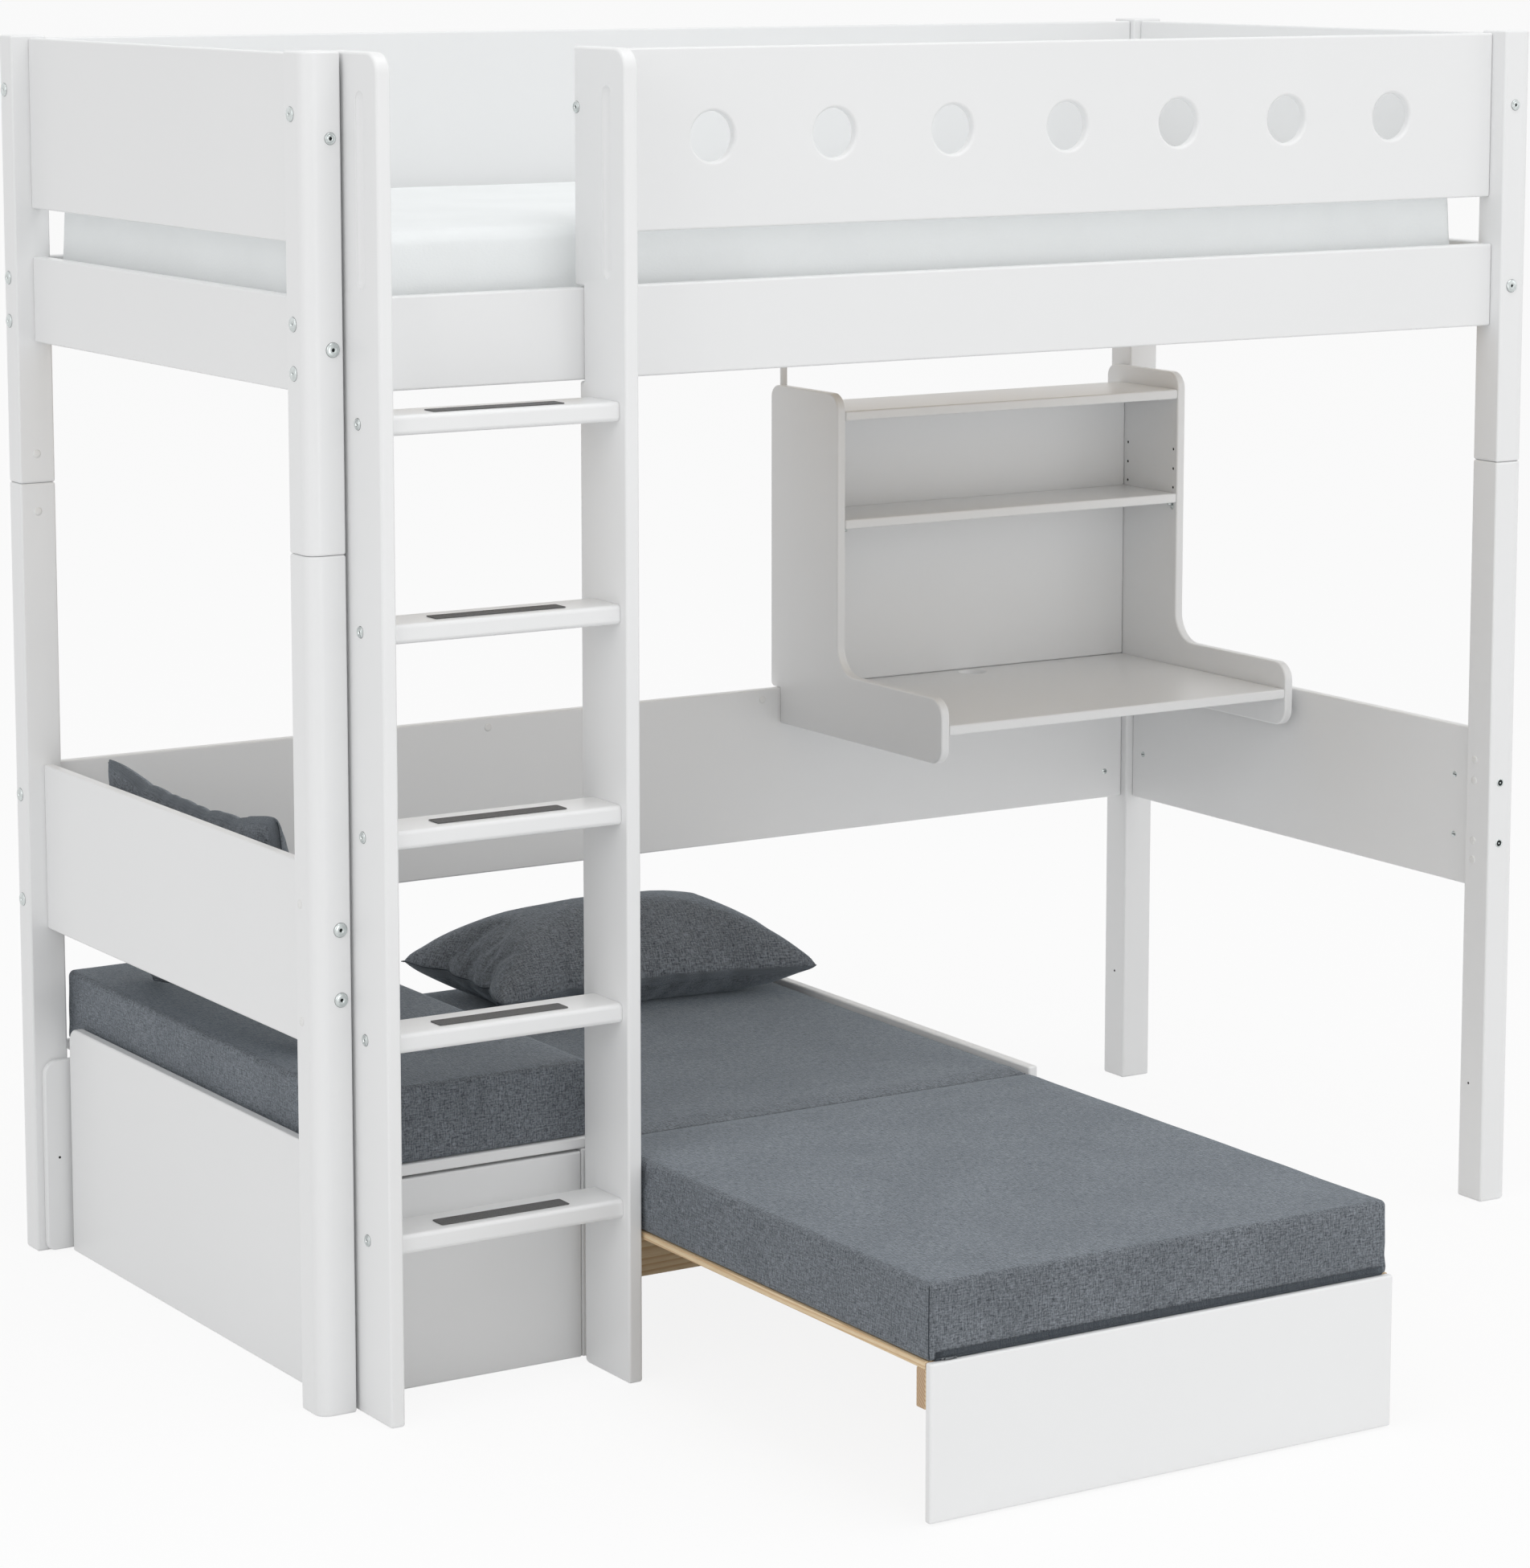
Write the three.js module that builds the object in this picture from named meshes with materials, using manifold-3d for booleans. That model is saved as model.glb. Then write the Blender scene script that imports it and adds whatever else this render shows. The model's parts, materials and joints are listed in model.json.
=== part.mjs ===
// Loft bed: an upper bed with guards and a ladder, over a desk with shelves and over a sofa that
// pulls out into a guest bed. It is modelled with the guest bed pulled out and laid flat.
//
// Millimetres, Z up. X runs along the bed and Y from front to back. Pieces are placed from the
// front left corner of the posts, on the floor, and the whole is then centred over the origin.

import * as THREE from "three";
import { mergeVertices } from "three/addons/utils/BufferGeometryUtils.js";
import Module from "manifold-3d";

const wasm = await Module();
wasm.setup();

// Whole bed, over the outer faces of the posts
const bedLength = 2100;
const bedWidth = 1008;
const bedHeight = 1840;

// Gaps
const fit = 0.3; // between two pieces that meet
const runningGap = 1.5; // between a piece that slides and its neighbours

// Posts, each in two lengths
const postSide = 56;
const postRounding = 20; // the outer corner
const postChamfer = 4; // top and foot
const lowerPostHeight = 1177;

// Rails of the upper bed
const railThickness = 22;
const railHeight = 126;
const railDrop = 326; // top of the rails below the tops of the posts
const longRailInset = 22.5; // from the outer faces of the posts
const endRailInset = 27;

// Guards round the upper bed
const guardThickness = 16;
const guardHeight = 250;
const guardDrop = 4; // from the tops of the posts
const longGuardInset = 30;
const endGuardInset = 27;
const guardHoles = 7;
const guardHoleDiameter = 70;
const guardHoleRim = 5; // how far the rim flares on each face
const guardHoleRise = 127; // centre above the guard's lower edge
const firstHoleMargin = 190.5; // guard's left end to the first centre
const lastHoleMargin = 196.5;

// Panels at sitting height
const panelThickness = 16;
const panelHeight = 251;
const panelBottom = 500;
const panelInset = 27;

// Ladder
const ladderPostGap = 5; // left stile to corner post
const stileThickness = 22;
const ladderReach = 90; // in front of the posts
const stileLap = 10.5; // behind the front face of the rail
const stileHeadOverhang = 0.5; // behind the back face of the rail
const stileHeadRounding = 27;
const stileFootRounding = 8;
const notchClearance = 2; // above and below the rail
const grooveWidth = 23;
const grooveLength = 258;
const grooveDepth = 4;
const grooveRise = 17; // above the rail
const grooveSetback = 47; // centre line behind the stile's front edge
const rungCount = 5;
const rungLength = 348.5;
const rungDepth = 82;
const rungThickness = 27;
const rungRounding = 6.5;
const rungSetback = 15; // behind the stile's front edge
const lowestRung = 247; // centre above the floor
const topRungDrop = 35; // centre below the rail
const gripLength = 199;
const gripWidth = 30;
const gripThickness = 1.2;
const gripSetback = 16; // behind the rung's front edge

// Slat base and mattress of the upper bed
const bearerSide = 20;
const bearerDrop = 64; // top of the bearers below the top of the rails
const slatCount = 14;
const slatWidth = 70;
const slatThickness = 16;
const slatEndGap = 1; // to the rails
const firstSlatGap = 4; // to the posts
const strapWidth = 25;
const strapThickness = 2;
const strapSink = 1; // how far a strap is let into the slats
const strapInset = 170; // from the ends of the slats
const mattressThickness = 135;
const mattressSideGap = 7.5; // to the long rails
const mattressHeadGap = 1; // to the left posts
const mattressFootGap = 32; // to the right posts

// Desk, hung on the back panel and on the back rail
const deskBoard = 16;
const deskWidth = 698;
const deskPostGap = 3; // to the right posts
const deskReach = 475; // in front of the back panel
const uprightDepth = 173.5; // in front of the back panel
const rearDepth = 28; // behind the back panel's front face
const armBottom = 692.5;
const armTop = 797.5;
const deskTopSurface = 755.5;
const deskTopGap = 136; // top of the desk sides below the rails
const armFootRounding = 28;
const armHeadRounding = 30;
const throatRounding = 48;
const uprightFrontRounding = 28;
const uprightRearRounding = 20;
const deskNotchRounding = 8;
const deskBackInset = 9; // back face in front of the back panel
const topShelfDrop = 44; // underside below the tops of the desk sides
const shelfSpacing = 176; // from the middle shelf to the top shelf
const cableHoleDiameter = 44;
const cableHoleMargin = 28; // centre in front of the desk's back
const hangerWidth = 12;
const hangerThickness = 7;
const hangerTopDrop = 14; // below the top of the rail
const hangerLap = 172; // below the top of the desk side

// Sofa: a fixed seat on the left, and the place for the guest bed on the right
const sofaBoard = 16;
const sofaFrontLap = 1.5; // in front of the back face of the front posts
const sofaBackInset = 23; // from the back faces of the posts
const endPanelLap = 7; // how far the end panel lies behind the posts
const endPanelHeight = 348;
const endPanelBackGap = 21; // to the back post
const endPanelRounding = 22;
const dividerLeft = 440.5;
const dividerHeight = 302;
const frontPanelHeight = 298.5;
const deckOverhang = 0.5; // past the divider
const backBoardThickness = 12;
const backBoardLeft = 12;
const backBoardBottom = 2;
const backBoardTop = 297;
const backBoardTopRounding = 22;
const backBoardFootRounding = 12;
const seatCushionThickness = 104;
const seatCushionGap = 2; // to the end panel
const seatCushionFrontGap = 3.5;

// Pull-out and the slats that pass between each other
const pulloutWidth = 748;
const pulloutBoard = 12;
const pulloutFloorGap = 2.5;
const guestSlatTop = 212;
const guestSlatWidth = 70;
const movingSlats = 5;
const movingSlatThickness = 10;
const fixedSlatThickness = 9;
const frontRailDepth = 20;
const pulloutRailHeight = 52;
const fixedRailFront = 88; // behind the front faces of the posts
const fixedRailHeight = 111.5;
const fixedRailDrop = 0.5; // below the moving slats
const stopRailDepth = 10;
const stopRailHeight = 20;
const rearRailDepth = 16;
const rearRailHeight = 45;
const endClearance = 1; // stop rail to rear rail when it is pushed in
const stopClearance = 0.5; // stop rail to fixed rail when it is pulled out
const slatTenon = 5; // how far a slat is let into its rail

// Guest mattress, two halves that fold at a seam
const guestMattressThickness = 100;
const guestMattressGap = 1; // to each side of its place
const guestMattressSetback = 7; // behind the front of the pull-out
const foldLine = 51.3; // behind the front faces of the posts
const zipSliderLength = 9;
const zipSliderWidth = 6;
const zipSliderHeight = 3;
const zipTabLength = 18;
const zipTabThickness = 1.6;
const zipSliderSide = 20; // from the mattress's left side

// Softness of the cushions
const mattressCornerRounding = 40;
const guestCornerRounding = 14;
const edgeRounding = 12;
const edgeMiddle = 1 - Math.SQRT1_2; // share of its rounding where an edge's middle lies
const cushionCrown = 5;
const mattressCrown = 3;
const drawnIn = 3; // how far a side is pulled in between its corners

// Pillows
const pillowLength = 565;
const pillowDepth = 355;
const pillowRise = 108; // top of the lying pillow above its seam
const pillowUnderside = 51; // its seam above what it lies on
const standingPillowBulge = 67; // to each side of its seam
const pillowDrawnIn = 0.06; // share of its size that each side is pulled in
const lyingPillowTurn = THREE.MathUtils.degToRad(-2.3);
const lyingPillowLeft = 180; // from the left side of the guest mattress
const lyingPillowBackGap = 6; // to the back faces of the posts
const crownUnderPillow = 0.75; // share of the mattress's crown at the lying pillow
const pillowLean = THREE.MathUtils.degToRad(11.2);
const standingPillowFrontGap = 275; // from the front faces of the posts

// Worked out from the sizes above
const railTop = bedHeight - railDrop;
const railBottom = railTop - railHeight;
const guardTop = bedHeight - guardDrop;
const guardBottom = guardTop - guardHeight;
const panelTop = panelBottom + panelHeight;
const panelFront = bedWidth - panelInset - panelThickness;
const innerLeft = postSide + fit;
const innerRight = bedLength - postSide - fit;
const innerFront = postSide + fit;
const innerBack = bedWidth - postSide - fit;
const leftStile = postSide + ladderPostGap;
const rightStile = leftStile + stileThickness + rungLength + 2 * fit;
const ladderRight = rightStile + stileThickness;
const slatTop = railTop - bearerDrop + fit + slatThickness;
const mattressBottom = slatTop + fit;
const deskRight = bedLength - postSide - deskPostGap;
const deskLeft = deskRight - deskWidth;
const deskInnerLeft = deskLeft + deskBoard;
const deskInnerRight = deskRight - deskBoard;
const deskFront = panelFront - deskReach;
const deskBackFace = panelFront - deskBackInset;
const deskBackFront = deskBackFace - deskBoard;
const uprightFront = panelFront - uprightDepth;
const deskSideTop = railBottom - deskTopGap;
const topShelfBottom = deskSideTop - topShelfDrop;
const middleShelfBottom = topShelfBottom - shelfSpacing;
const sofaFront = postSide - sofaFrontLap;
const sofaBack = bedWidth - sofaBackInset;
const endPanelLeft = postSide - endPanelLap;
const seatLeft = endPanelLeft + sofaBoard;
const dividerRight = dividerLeft + sofaBoard;
const deckBottom = dividerHeight + fit;
const deckTop = deckBottom + sofaBoard;
const deckRight = dividerRight + deckOverhang;
const pulloutLeft = dividerRight + runningGap;
const pulloutRight = pulloutLeft + pulloutWidth;
const rightSideLeft = pulloutRight + runningGap;
const rearRailFront = sofaBack - rearRailDepth;
const fixedRailBack = fixedRailFront + frontRailDepth;
const stopRailOut = fixedRailBack + stopClearance + stopRailDepth;
const pulloutTravel = rearRailFront - endClearance - stopRailOut;
const pulloutFront = sofaFront - pulloutTravel;
const movingSlatFront = pulloutFront + pulloutBoard + fit;
const guestMattressBottom = guestSlatTop + fit;
const guestMattressLeft = pulloutLeft + guestMattressGap;
const guestMattressRight = pulloutRight - guestMattressGap;
const guestMattressFront = pulloutFront + guestMattressSetback;

// Finishes
const lacquer = { color: "#ebebea", roughness: 0.42, metalness: 0 };
const pine = { color: "#dcb98a", roughness: 0.6, metalness: 0 };
const greyCloth = { color: "#5c646d", roughness: 0.95, metalness: 0 };
const whiteCloth = { color: "#e9eef3", roughness: 0.92, metalness: 0 };
const gripRubber = { color: "#575859", roughness: 0.9, metalness: 0 };
const zipMetal = { color: "#3a3d41", roughness: 0.35, metalness: 0.8 };

// A named piece with its own material
function piece(name, finish, geometry) {
  const mesh = new THREE.Mesh(geometry, new THREE.MeshStandardMaterial(finish));
  mesh.name = name;
  return mesh;
}

// A box between two values along each axis
function block([x0, x1], [y0, y1], [z0, z1]) {
  const box = new THREE.BoxGeometry(x1 - x0, y1 - y0, z1 - z0);
  return box.translate((x0 + x1) / 2, (y0 + y1) / 2, (z0 + z1) / 2);
}

// A plain board between two values along each axis
function board(name, finish, xRange, yRange, zRange) {
  const [x, y, z] = [xRange, yRange, zRange];
  const box = new THREE.BoxGeometry(x[1] - x[0], y[1] - y[0], z[1] - z[0]);
  const mesh = piece(name, finish, box);
  mesh.position.set((x[0] + x[1]) / 2, (y[0] + y[1]) / 2, (z[0] + z[1]) / 2);
  return mesh;
}

// Points round the corners [x, y, radius], each rounded to its radius where one is given
function roundedPoints(corners, stepsPerCorner) {
  const places = corners.map(([x, y]) => new THREE.Vector2(x, y));
  return places.flatMap((corner, i) => {
    const radius = corners[i][2];
    if (!radius) return [corner];
    const back = places.at(i - 1).clone().sub(corner).normalize();
    const on = places[(i + 1) % places.length].clone().sub(corner).normalize();
    const half = Math.acos(THREE.MathUtils.clamp(back.dot(on), -1, 1)) / 2;
    const start = back.clone().multiplyScalar(radius / Math.tan(half)).add(corner);
    const centre = back.clone().add(on).setLength(radius / Math.sin(half)).add(corner);
    const sweep = Math.sign(on.cross(back)) * (Math.PI - 2 * half);
    return Array.from({ length: stepsPerCorner + 1 }, (_, step) =>
      start.clone().rotateAround(centre, (sweep * step) / stepsPerCorner),
    );
  });
}

// The shape inside those points
function roundedShape(corners, stepsPerCorner = 4) {
  return new THREE.Shape(roundedPoints(corners, stepsPerCorner));
}

// An outline in Y and Z, cut from a board that lies from one X to another
function extrudeAlongX(shape, [x0, x1]) {
  const geometry = new THREE.ExtrudeGeometry(shape, { depth: x1 - x0, bevelEnabled: false });
  const across = new THREE.Matrix4().makeBasis(
    new THREE.Vector3(0, 1, 0),
    new THREE.Vector3(0, 0, 1),
    new THREE.Vector3(1, 0, 0),
  );
  return geometry.applyMatrix4(across).translate(x0, 0, 0);
}

// An outline in X and Z, cut from a board that lies from one Y to another
function extrudeAlongY(shape, [y0, y1]) {
  const geometry = new THREE.ExtrudeGeometry(shape, { depth: y1 - y0, bevelEnabled: false });
  const across = new THREE.Matrix4().makeBasis(
    new THREE.Vector3(1, 0, 0),
    new THREE.Vector3(0, 0, 1),
    new THREE.Vector3(0, -1, 0),
  );
  return geometry.applyMatrix4(across).translate(0, y1, 0);
}

// A closed geometry as a solid that can be joined and cut
function solid(geometry) {
  const bare = geometry.clone();
  bare.deleteAttribute("normal");
  bare.deleteAttribute("uv");
  const merged = mergeVertices(bare, 1e-3);
  return new wasm.Manifold(
    new wasm.Mesh({
      numProp: 3,
      vertProperties: merged.attributes.position.array,
      triVerts: new Uint32Array(merged.index.array),
    }),
  );
}

// A solid as a geometry with flat faces
function geometryOf(joined) {
  const { vertProperties, triVerts } = joined.getMesh();
  const shared = new THREE.BufferGeometry();
  shared.setAttribute("position", new THREE.BufferAttribute(vertProperties, 3));
  shared.setIndex(new THREE.BufferAttribute(triVerts, 1));
  const flat = shared.toNonIndexed();
  flat.computeVertexNormals();
  return flat;
}

// Several closed geometries joined into one
function joinedGeometry(parts) {
  return geometryOf(parts.map(solid).reduce((whole, part) => whole.add(part)));
}

// A closed geometry with others cut out of it
function cutGeometry(body, cutters) {
  return geometryOf(cutters.map(solid).reduce((left, cutter) => left.subtract(cutter), solid(body)));
}

// Triangles between two rows of points, as indices
function band(rowA, rowB, closed) {
  const count = closed ? rowA.length : rowA.length - 1;
  return Array.from({ length: count }, (_, i) => {
    const next = (i + 1) % rowA.length;
    return [rowA[i], rowA[next], rowB[next], rowA[i], rowB[next], rowB[i]];
  }).flat();
}

// A firm cushion with its underside flat on Z = 0 and centred on X and Y. Rings of one outline
// climb from the underside over rounded edges to a crowned top, and each side is drawn in
// between its corners.
function cushionGeometry({ length, width, thickness, corner, crown }) {
  const [halfX, halfY] = [length / 2, width / 2];
  const stops = [-0.75, -0.5, -0.25, 0, 0.25, 0.5, 0.75];
  const corners = [
    [-halfX, -halfY, corner],
    [halfX, -halfY, corner],
    [halfX, halfY, corner],
    [-halfX, halfY, corner],
  ];
  const arcs = roundedPoints(corners, 3);
  const perCorner = arcs.length / 4;
  const outline = [0, 1, 2, 3].flatMap((side) => {
    const arc = arcs.slice(side * perCorner, (side + 1) * perCorner);
    const end = arc.at(-1);
    const next = arcs[((side + 1) % 4) * perCorner];
    return [...arc, ...stops.map((stop) => end.clone().lerp(next, (stop + 1) / 2))];
  });
  const pulled = outline.map(({ x, y }) => [
    x * (1 - (drawnIn / halfX) * Math.max(0, 1 - (y / halfY) ** 2)),
    y * (1 - (drawnIn / halfY) * Math.max(0, 1 - (x / halfX) ** 2)),
  ]);
  const middle = edgeRounding * edgeMiddle;
  const rings = [
    [edgeRounding, 0, 1],
    [middle, middle, 1],
    [0, edgeRounding, 1],
    [0, thickness - edgeRounding, 1],
    [middle, thickness - middle, 1],
    [edgeRounding, thickness, 1],
    [edgeRounding, thickness + 0.5 * crown, Math.SQRT1_2],
    [edgeRounding, thickness + 0.88 * crown, 0.35],
  ];
  const vertices = rings.flatMap(([inset, z, share]) =>
    pulled.flatMap(([x, y]) => [
      x * (1 - inset / halfX) * share,
      y * (1 - inset / halfY) * share,
      z,
    ]),
  );
  const count = pulled.length;
  const row = (ring) => Array.from({ length: count }, (_, i) => ring * count + i);
  const faces = rings.slice(1).flatMap((_, ring) => band(row(ring), row(ring + 1), true));
  const [under, top] = [rings.length * count, rings.length * count + 1];
  vertices.push(0, 0, 0, 0, 0, thickness + crown);
  row(0).forEach((at, i, ring) => faces.push(under, ring[(i + 1) % count], at));
  row(rings.length - 1).forEach((at, i, ring) => faces.push(at, ring[(i + 1) % count], top));
  return indexedGeometry(vertices, faces);
}

// A pillow centred on its seam: two sheets sewn round their edge, thick in the middle, with
// pointed corners and sides drawn in between them. The lower sheet stops at a flat underside.
function pillowGeometry({ above, below, flat }) {
  const [across, deep] = [16, 12];
  const spread = (i, count) => Math.sin((Math.PI / 2) * ((2 * i) / count - 1));
  const pull = pillowDrawnIn;
  const sheet = (height) => {
    const points = [];
    for (let j = 0; j <= deep; j++) {
      for (let i = 0; i <= across; i++) {
        const [u, v] = [spread(i, across), spread(j, deep)];
        const swell = Math.max(0, (1 - u * u) * (1 - v * v)) ** 0.45;
        const x = (pillowLength / 2) * u * (1 - pull * (1 - v * v));
        const y = (pillowDepth / 2) * v * (1 - 2 * pull * (1 - u * u));
        points.push(x, y, height(swell));
      }
    }
    return points;
  };
  const top = sheet((swell) => above * swell);
  const under = sheet((swell) => -Math.min(flat, below * swell));
  const row = (start, j) => Array.from({ length: across + 1 }, (_, i) => start + j * (across + 1) + i);
  const rows = Array.from({ length: deep }, (_, j) => j);
  const start = top.length / 3;
  const upper = rows.flatMap((j) => band(row(0, j), row(0, j + 1), false));
  const lower = rows.flatMap((j) => band(row(start, j + 1), row(start, j), false));
  return indexedGeometry([...top, ...under], [...upper, ...lower]);
}

// A geometry from flat lists of coordinates and of corner numbers, with its doubles merged
function indexedGeometry(vertices, faces) {
  const loose = new THREE.BufferGeometry();
  loose.setAttribute("position", new THREE.Float32BufferAttribute(vertices, 3));
  loose.setIndex(faces);
  const geometry = mergeVertices(loose, 1e-3);
  geometry.computeVertexNormals();
  return geometry;
}

// The four posts, each a lower and an upper length with a thin joint between them
function posts() {
  const group = new THREE.Group();
  const depth = bedHeight - 2 * postChamfer;
  const bevel = {
    depth,
    bevelEnabled: true,
    bevelSegments: 1,
    bevelSize: postChamfer,
    bevelThickness: postChamfer,
    bevelOffset: -postChamfer,
  };
  for (const right of [false, true]) {
    for (const back of [false, true]) {
      const x0 = right ? bedLength - postSide : 0;
      const y0 = back ? bedWidth - postSide : 0;
      const [x1, y1] = [x0 + postSide, y0 + postSide];
      const shape = roundedShape([
        [x0, y0, !right && !back ? postRounding : 0],
        [x1, y0, right && !back ? postRounding : 0],
        [x1, y1, right && back ? postRounding : 0],
        [x0, y1, !right && back ? postRounding : 0],
      ]);
      const whole = new THREE.ExtrudeGeometry(shape, bevel).translate(0, 0, postChamfer);
      const place = `${back ? "back" : "front"}_${right ? "right" : "left"}`;
      const [xCut, yCut] = [[x0 - 1, x1 + 1], [y0 - 1, y1 + 1]];
      const overUpper = block(xCut, yCut, [lowerPostHeight, bedHeight + 1]);
      const underUpper = block(xCut, yCut, [-1, lowerPostHeight + fit]);
      group.add(piece(`lower_post_${place}`, lacquer, cutGeometry(whole, [overUpper])));
      group.add(piece(`upper_post_${place}`, lacquer, cutGeometry(whole, [underUpper])));
    }
  }
  return group;
}

// The four rails that carry the upper bed
function rails() {
  const group = new THREE.Group();
  const high = [railBottom, railTop];
  const along = [innerLeft, innerRight];
  const acrossBed = [innerFront, innerBack];
  const front = [longRailInset, longRailInset + railThickness];
  const back = front.map((y) => bedWidth - y).reverse();
  const left = [endRailInset, endRailInset + railThickness];
  const right = left.map((x) => bedLength - x).reverse();
  group.add(board("front_rail", lacquer, along, front, high));
  group.add(board("back_rail", lacquer, along, back, high));
  group.add(board("left_rail", lacquer, left, acrossBed, high));
  group.add(board("right_rail", lacquer, right, acrossBed, high));
  return group;
}

// The cutter for one hole of the front guard, with a rim that flares on both faces
function guardHoleCutter(x, z) {
  const radius = guardHoleDiameter / 2;
  const wide = radius + guardHoleRim;
  const profile = [
    [0, -1],
    [wide, -1],
    [wide, 0],
    [radius, guardHoleRim],
    [radius, guardThickness - guardHoleRim],
    [wide, guardThickness],
    [wide, guardThickness + 1],
    [0, guardThickness + 1],
  ].map(([r, y]) => new THREE.Vector2(r, y));
  return new THREE.LatheGeometry(profile, 24).translate(x, longGuardInset, z);
}

// The guards round the upper bed; the front one starts at the ladder and has round holes
function upperGuards() {
  const group = new THREE.Group();
  const high = [guardBottom, guardTop];
  const acrossBed = [innerFront, innerBack];
  const frontLeft = ladderRight + fit;
  const firstHole = frontLeft + firstHoleMargin;
  const lastHole = innerRight - lastHoleMargin;
  const cutters = Array.from({ length: guardHoles }, (_, i) => {
    const share = i / (guardHoles - 1);
    return guardHoleCutter(firstHole + share * (lastHole - firstHole), guardBottom + guardHoleRise);
  });
  const front = [longGuardInset, longGuardInset + guardThickness];
  const back = front.map((y) => bedWidth - y).reverse();
  const left = [endGuardInset, endGuardInset + guardThickness];
  const right = left.map((x) => bedLength - x).reverse();
  const frontBoard = block([frontLeft, innerRight], front, high);
  group.add(piece("front_guard", lacquer, cutGeometry(frontBoard, cutters)));
  group.add(board("back_guard", lacquer, [innerLeft, innerRight], back, high));
  group.add(board("left_guard", lacquer, left, acrossBed, high));
  group.add(board("right_guard", lacquer, right, acrossBed, high));
  return group;
}

// The panels at sitting height behind and beside the sofa and the desk
function lowerPanels() {
  const group = new THREE.Group();
  const high = [panelBottom, panelTop];
  const acrossBed = [innerFront, innerBack];
  const left = [panelInset, panelInset + panelThickness];
  const right = left.map((x) => bedLength - x).reverse();
  const back = [panelFront, panelFront + panelThickness];
  group.add(board("lower_left_guard", lacquer, left, acrossBed, high));
  group.add(board("lower_right_panel", lacquer, right, acrossBed, high));
  group.add(board("lower_back_panel", lacquer, [innerLeft, innerRight], back, high));
  return group;
}

// One ladder stile: notched round the front rail, with a finger groove in each face above it
function stile(name, x0) {
  const x1 = x0 + stileThickness;
  const front = -ladderReach;
  const [notchBottom, notchTop] = [railBottom - notchClearance, railTop + notchClearance];
  const notchFace = longRailInset - fit;
  const legBack = longRailInset + stileLap;
  const headBack = longRailInset + railThickness + stileHeadOverhang;
  const outline = roundedShape([
    [front, 0],
    [legBack, 0, stileFootRounding],
    [legBack, notchBottom],
    [notchFace, notchBottom],
    [notchFace, notchTop],
    [headBack, notchTop],
    [headBack, bedHeight],
    [front, bedHeight, stileHeadRounding],
  ]);
  const grooveFront = front + grooveSetback - grooveWidth / 2;
  const grooveBottom = railTop + grooveRise;
  const round = 0.499 * grooveWidth;
  const groove = roundedShape([
    [grooveFront, grooveBottom, round],
    [grooveFront + grooveWidth, grooveBottom, round],
    [grooveFront + grooveWidth, grooveBottom + grooveLength, round],
    [grooveFront, grooveBottom + grooveLength, round],
  ]);
  const leftGroove = extrudeAlongX(groove, [x0 - 1, x0 + grooveDepth]);
  const rightGroove = extrudeAlongX(groove, [x1 - grooveDepth, x1 + 1]);
  const body = extrudeAlongX(outline, [x0, x1]);
  return piece(name, lacquer, cutGeometry(body, [leftGroove, rightGroove]));
}

// The ladder: two stiles, and rungs with a grip strip each
function ladder() {
  const group = new THREE.Group();
  group.add(stile("ladder_stile_left", leftStile));
  group.add(stile("ladder_stile_right", rightStile));
  const rungLeft = leftStile + stileThickness + fit;
  const rungFront = rungSetback - ladderReach;
  const rungBack = rungFront + rungDepth;
  const highestRung = railBottom - topRungDrop;
  const gripLeft = rungLeft + (rungLength - gripLength) / 2;
  const gripFront = rungFront + gripSetback;
  for (let i = 0; i < rungCount; i++) {
    const centre = lowestRung + ((highestRung - lowestRung) * i) / (rungCount - 1);
    const [low, high] = [centre - rungThickness / 2, centre + rungThickness / 2];
    const outline = roundedShape(
      [
        [rungFront, low, rungRounding],
        [rungBack, low, rungRounding],
        [rungBack, high, rungRounding],
        [rungFront, high, rungRounding],
      ],
      3,
    );
    const rung = extrudeAlongX(outline, [rungLeft, rungLeft + rungLength]);
    group.add(piece(`rung_${i + 1}`, lacquer, rung));
    const gripAcross = [gripFront, gripFront + gripWidth];
    const gripHigh = [high + fit, high + fit + gripThickness];
    const gripAlong = [gripLeft, gripLeft + gripLength];
    group.add(board(`grip_strip_${i + 1}`, gripRubber, gripAlong, gripAcross, gripHigh));
  }
  return group;
}

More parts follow.
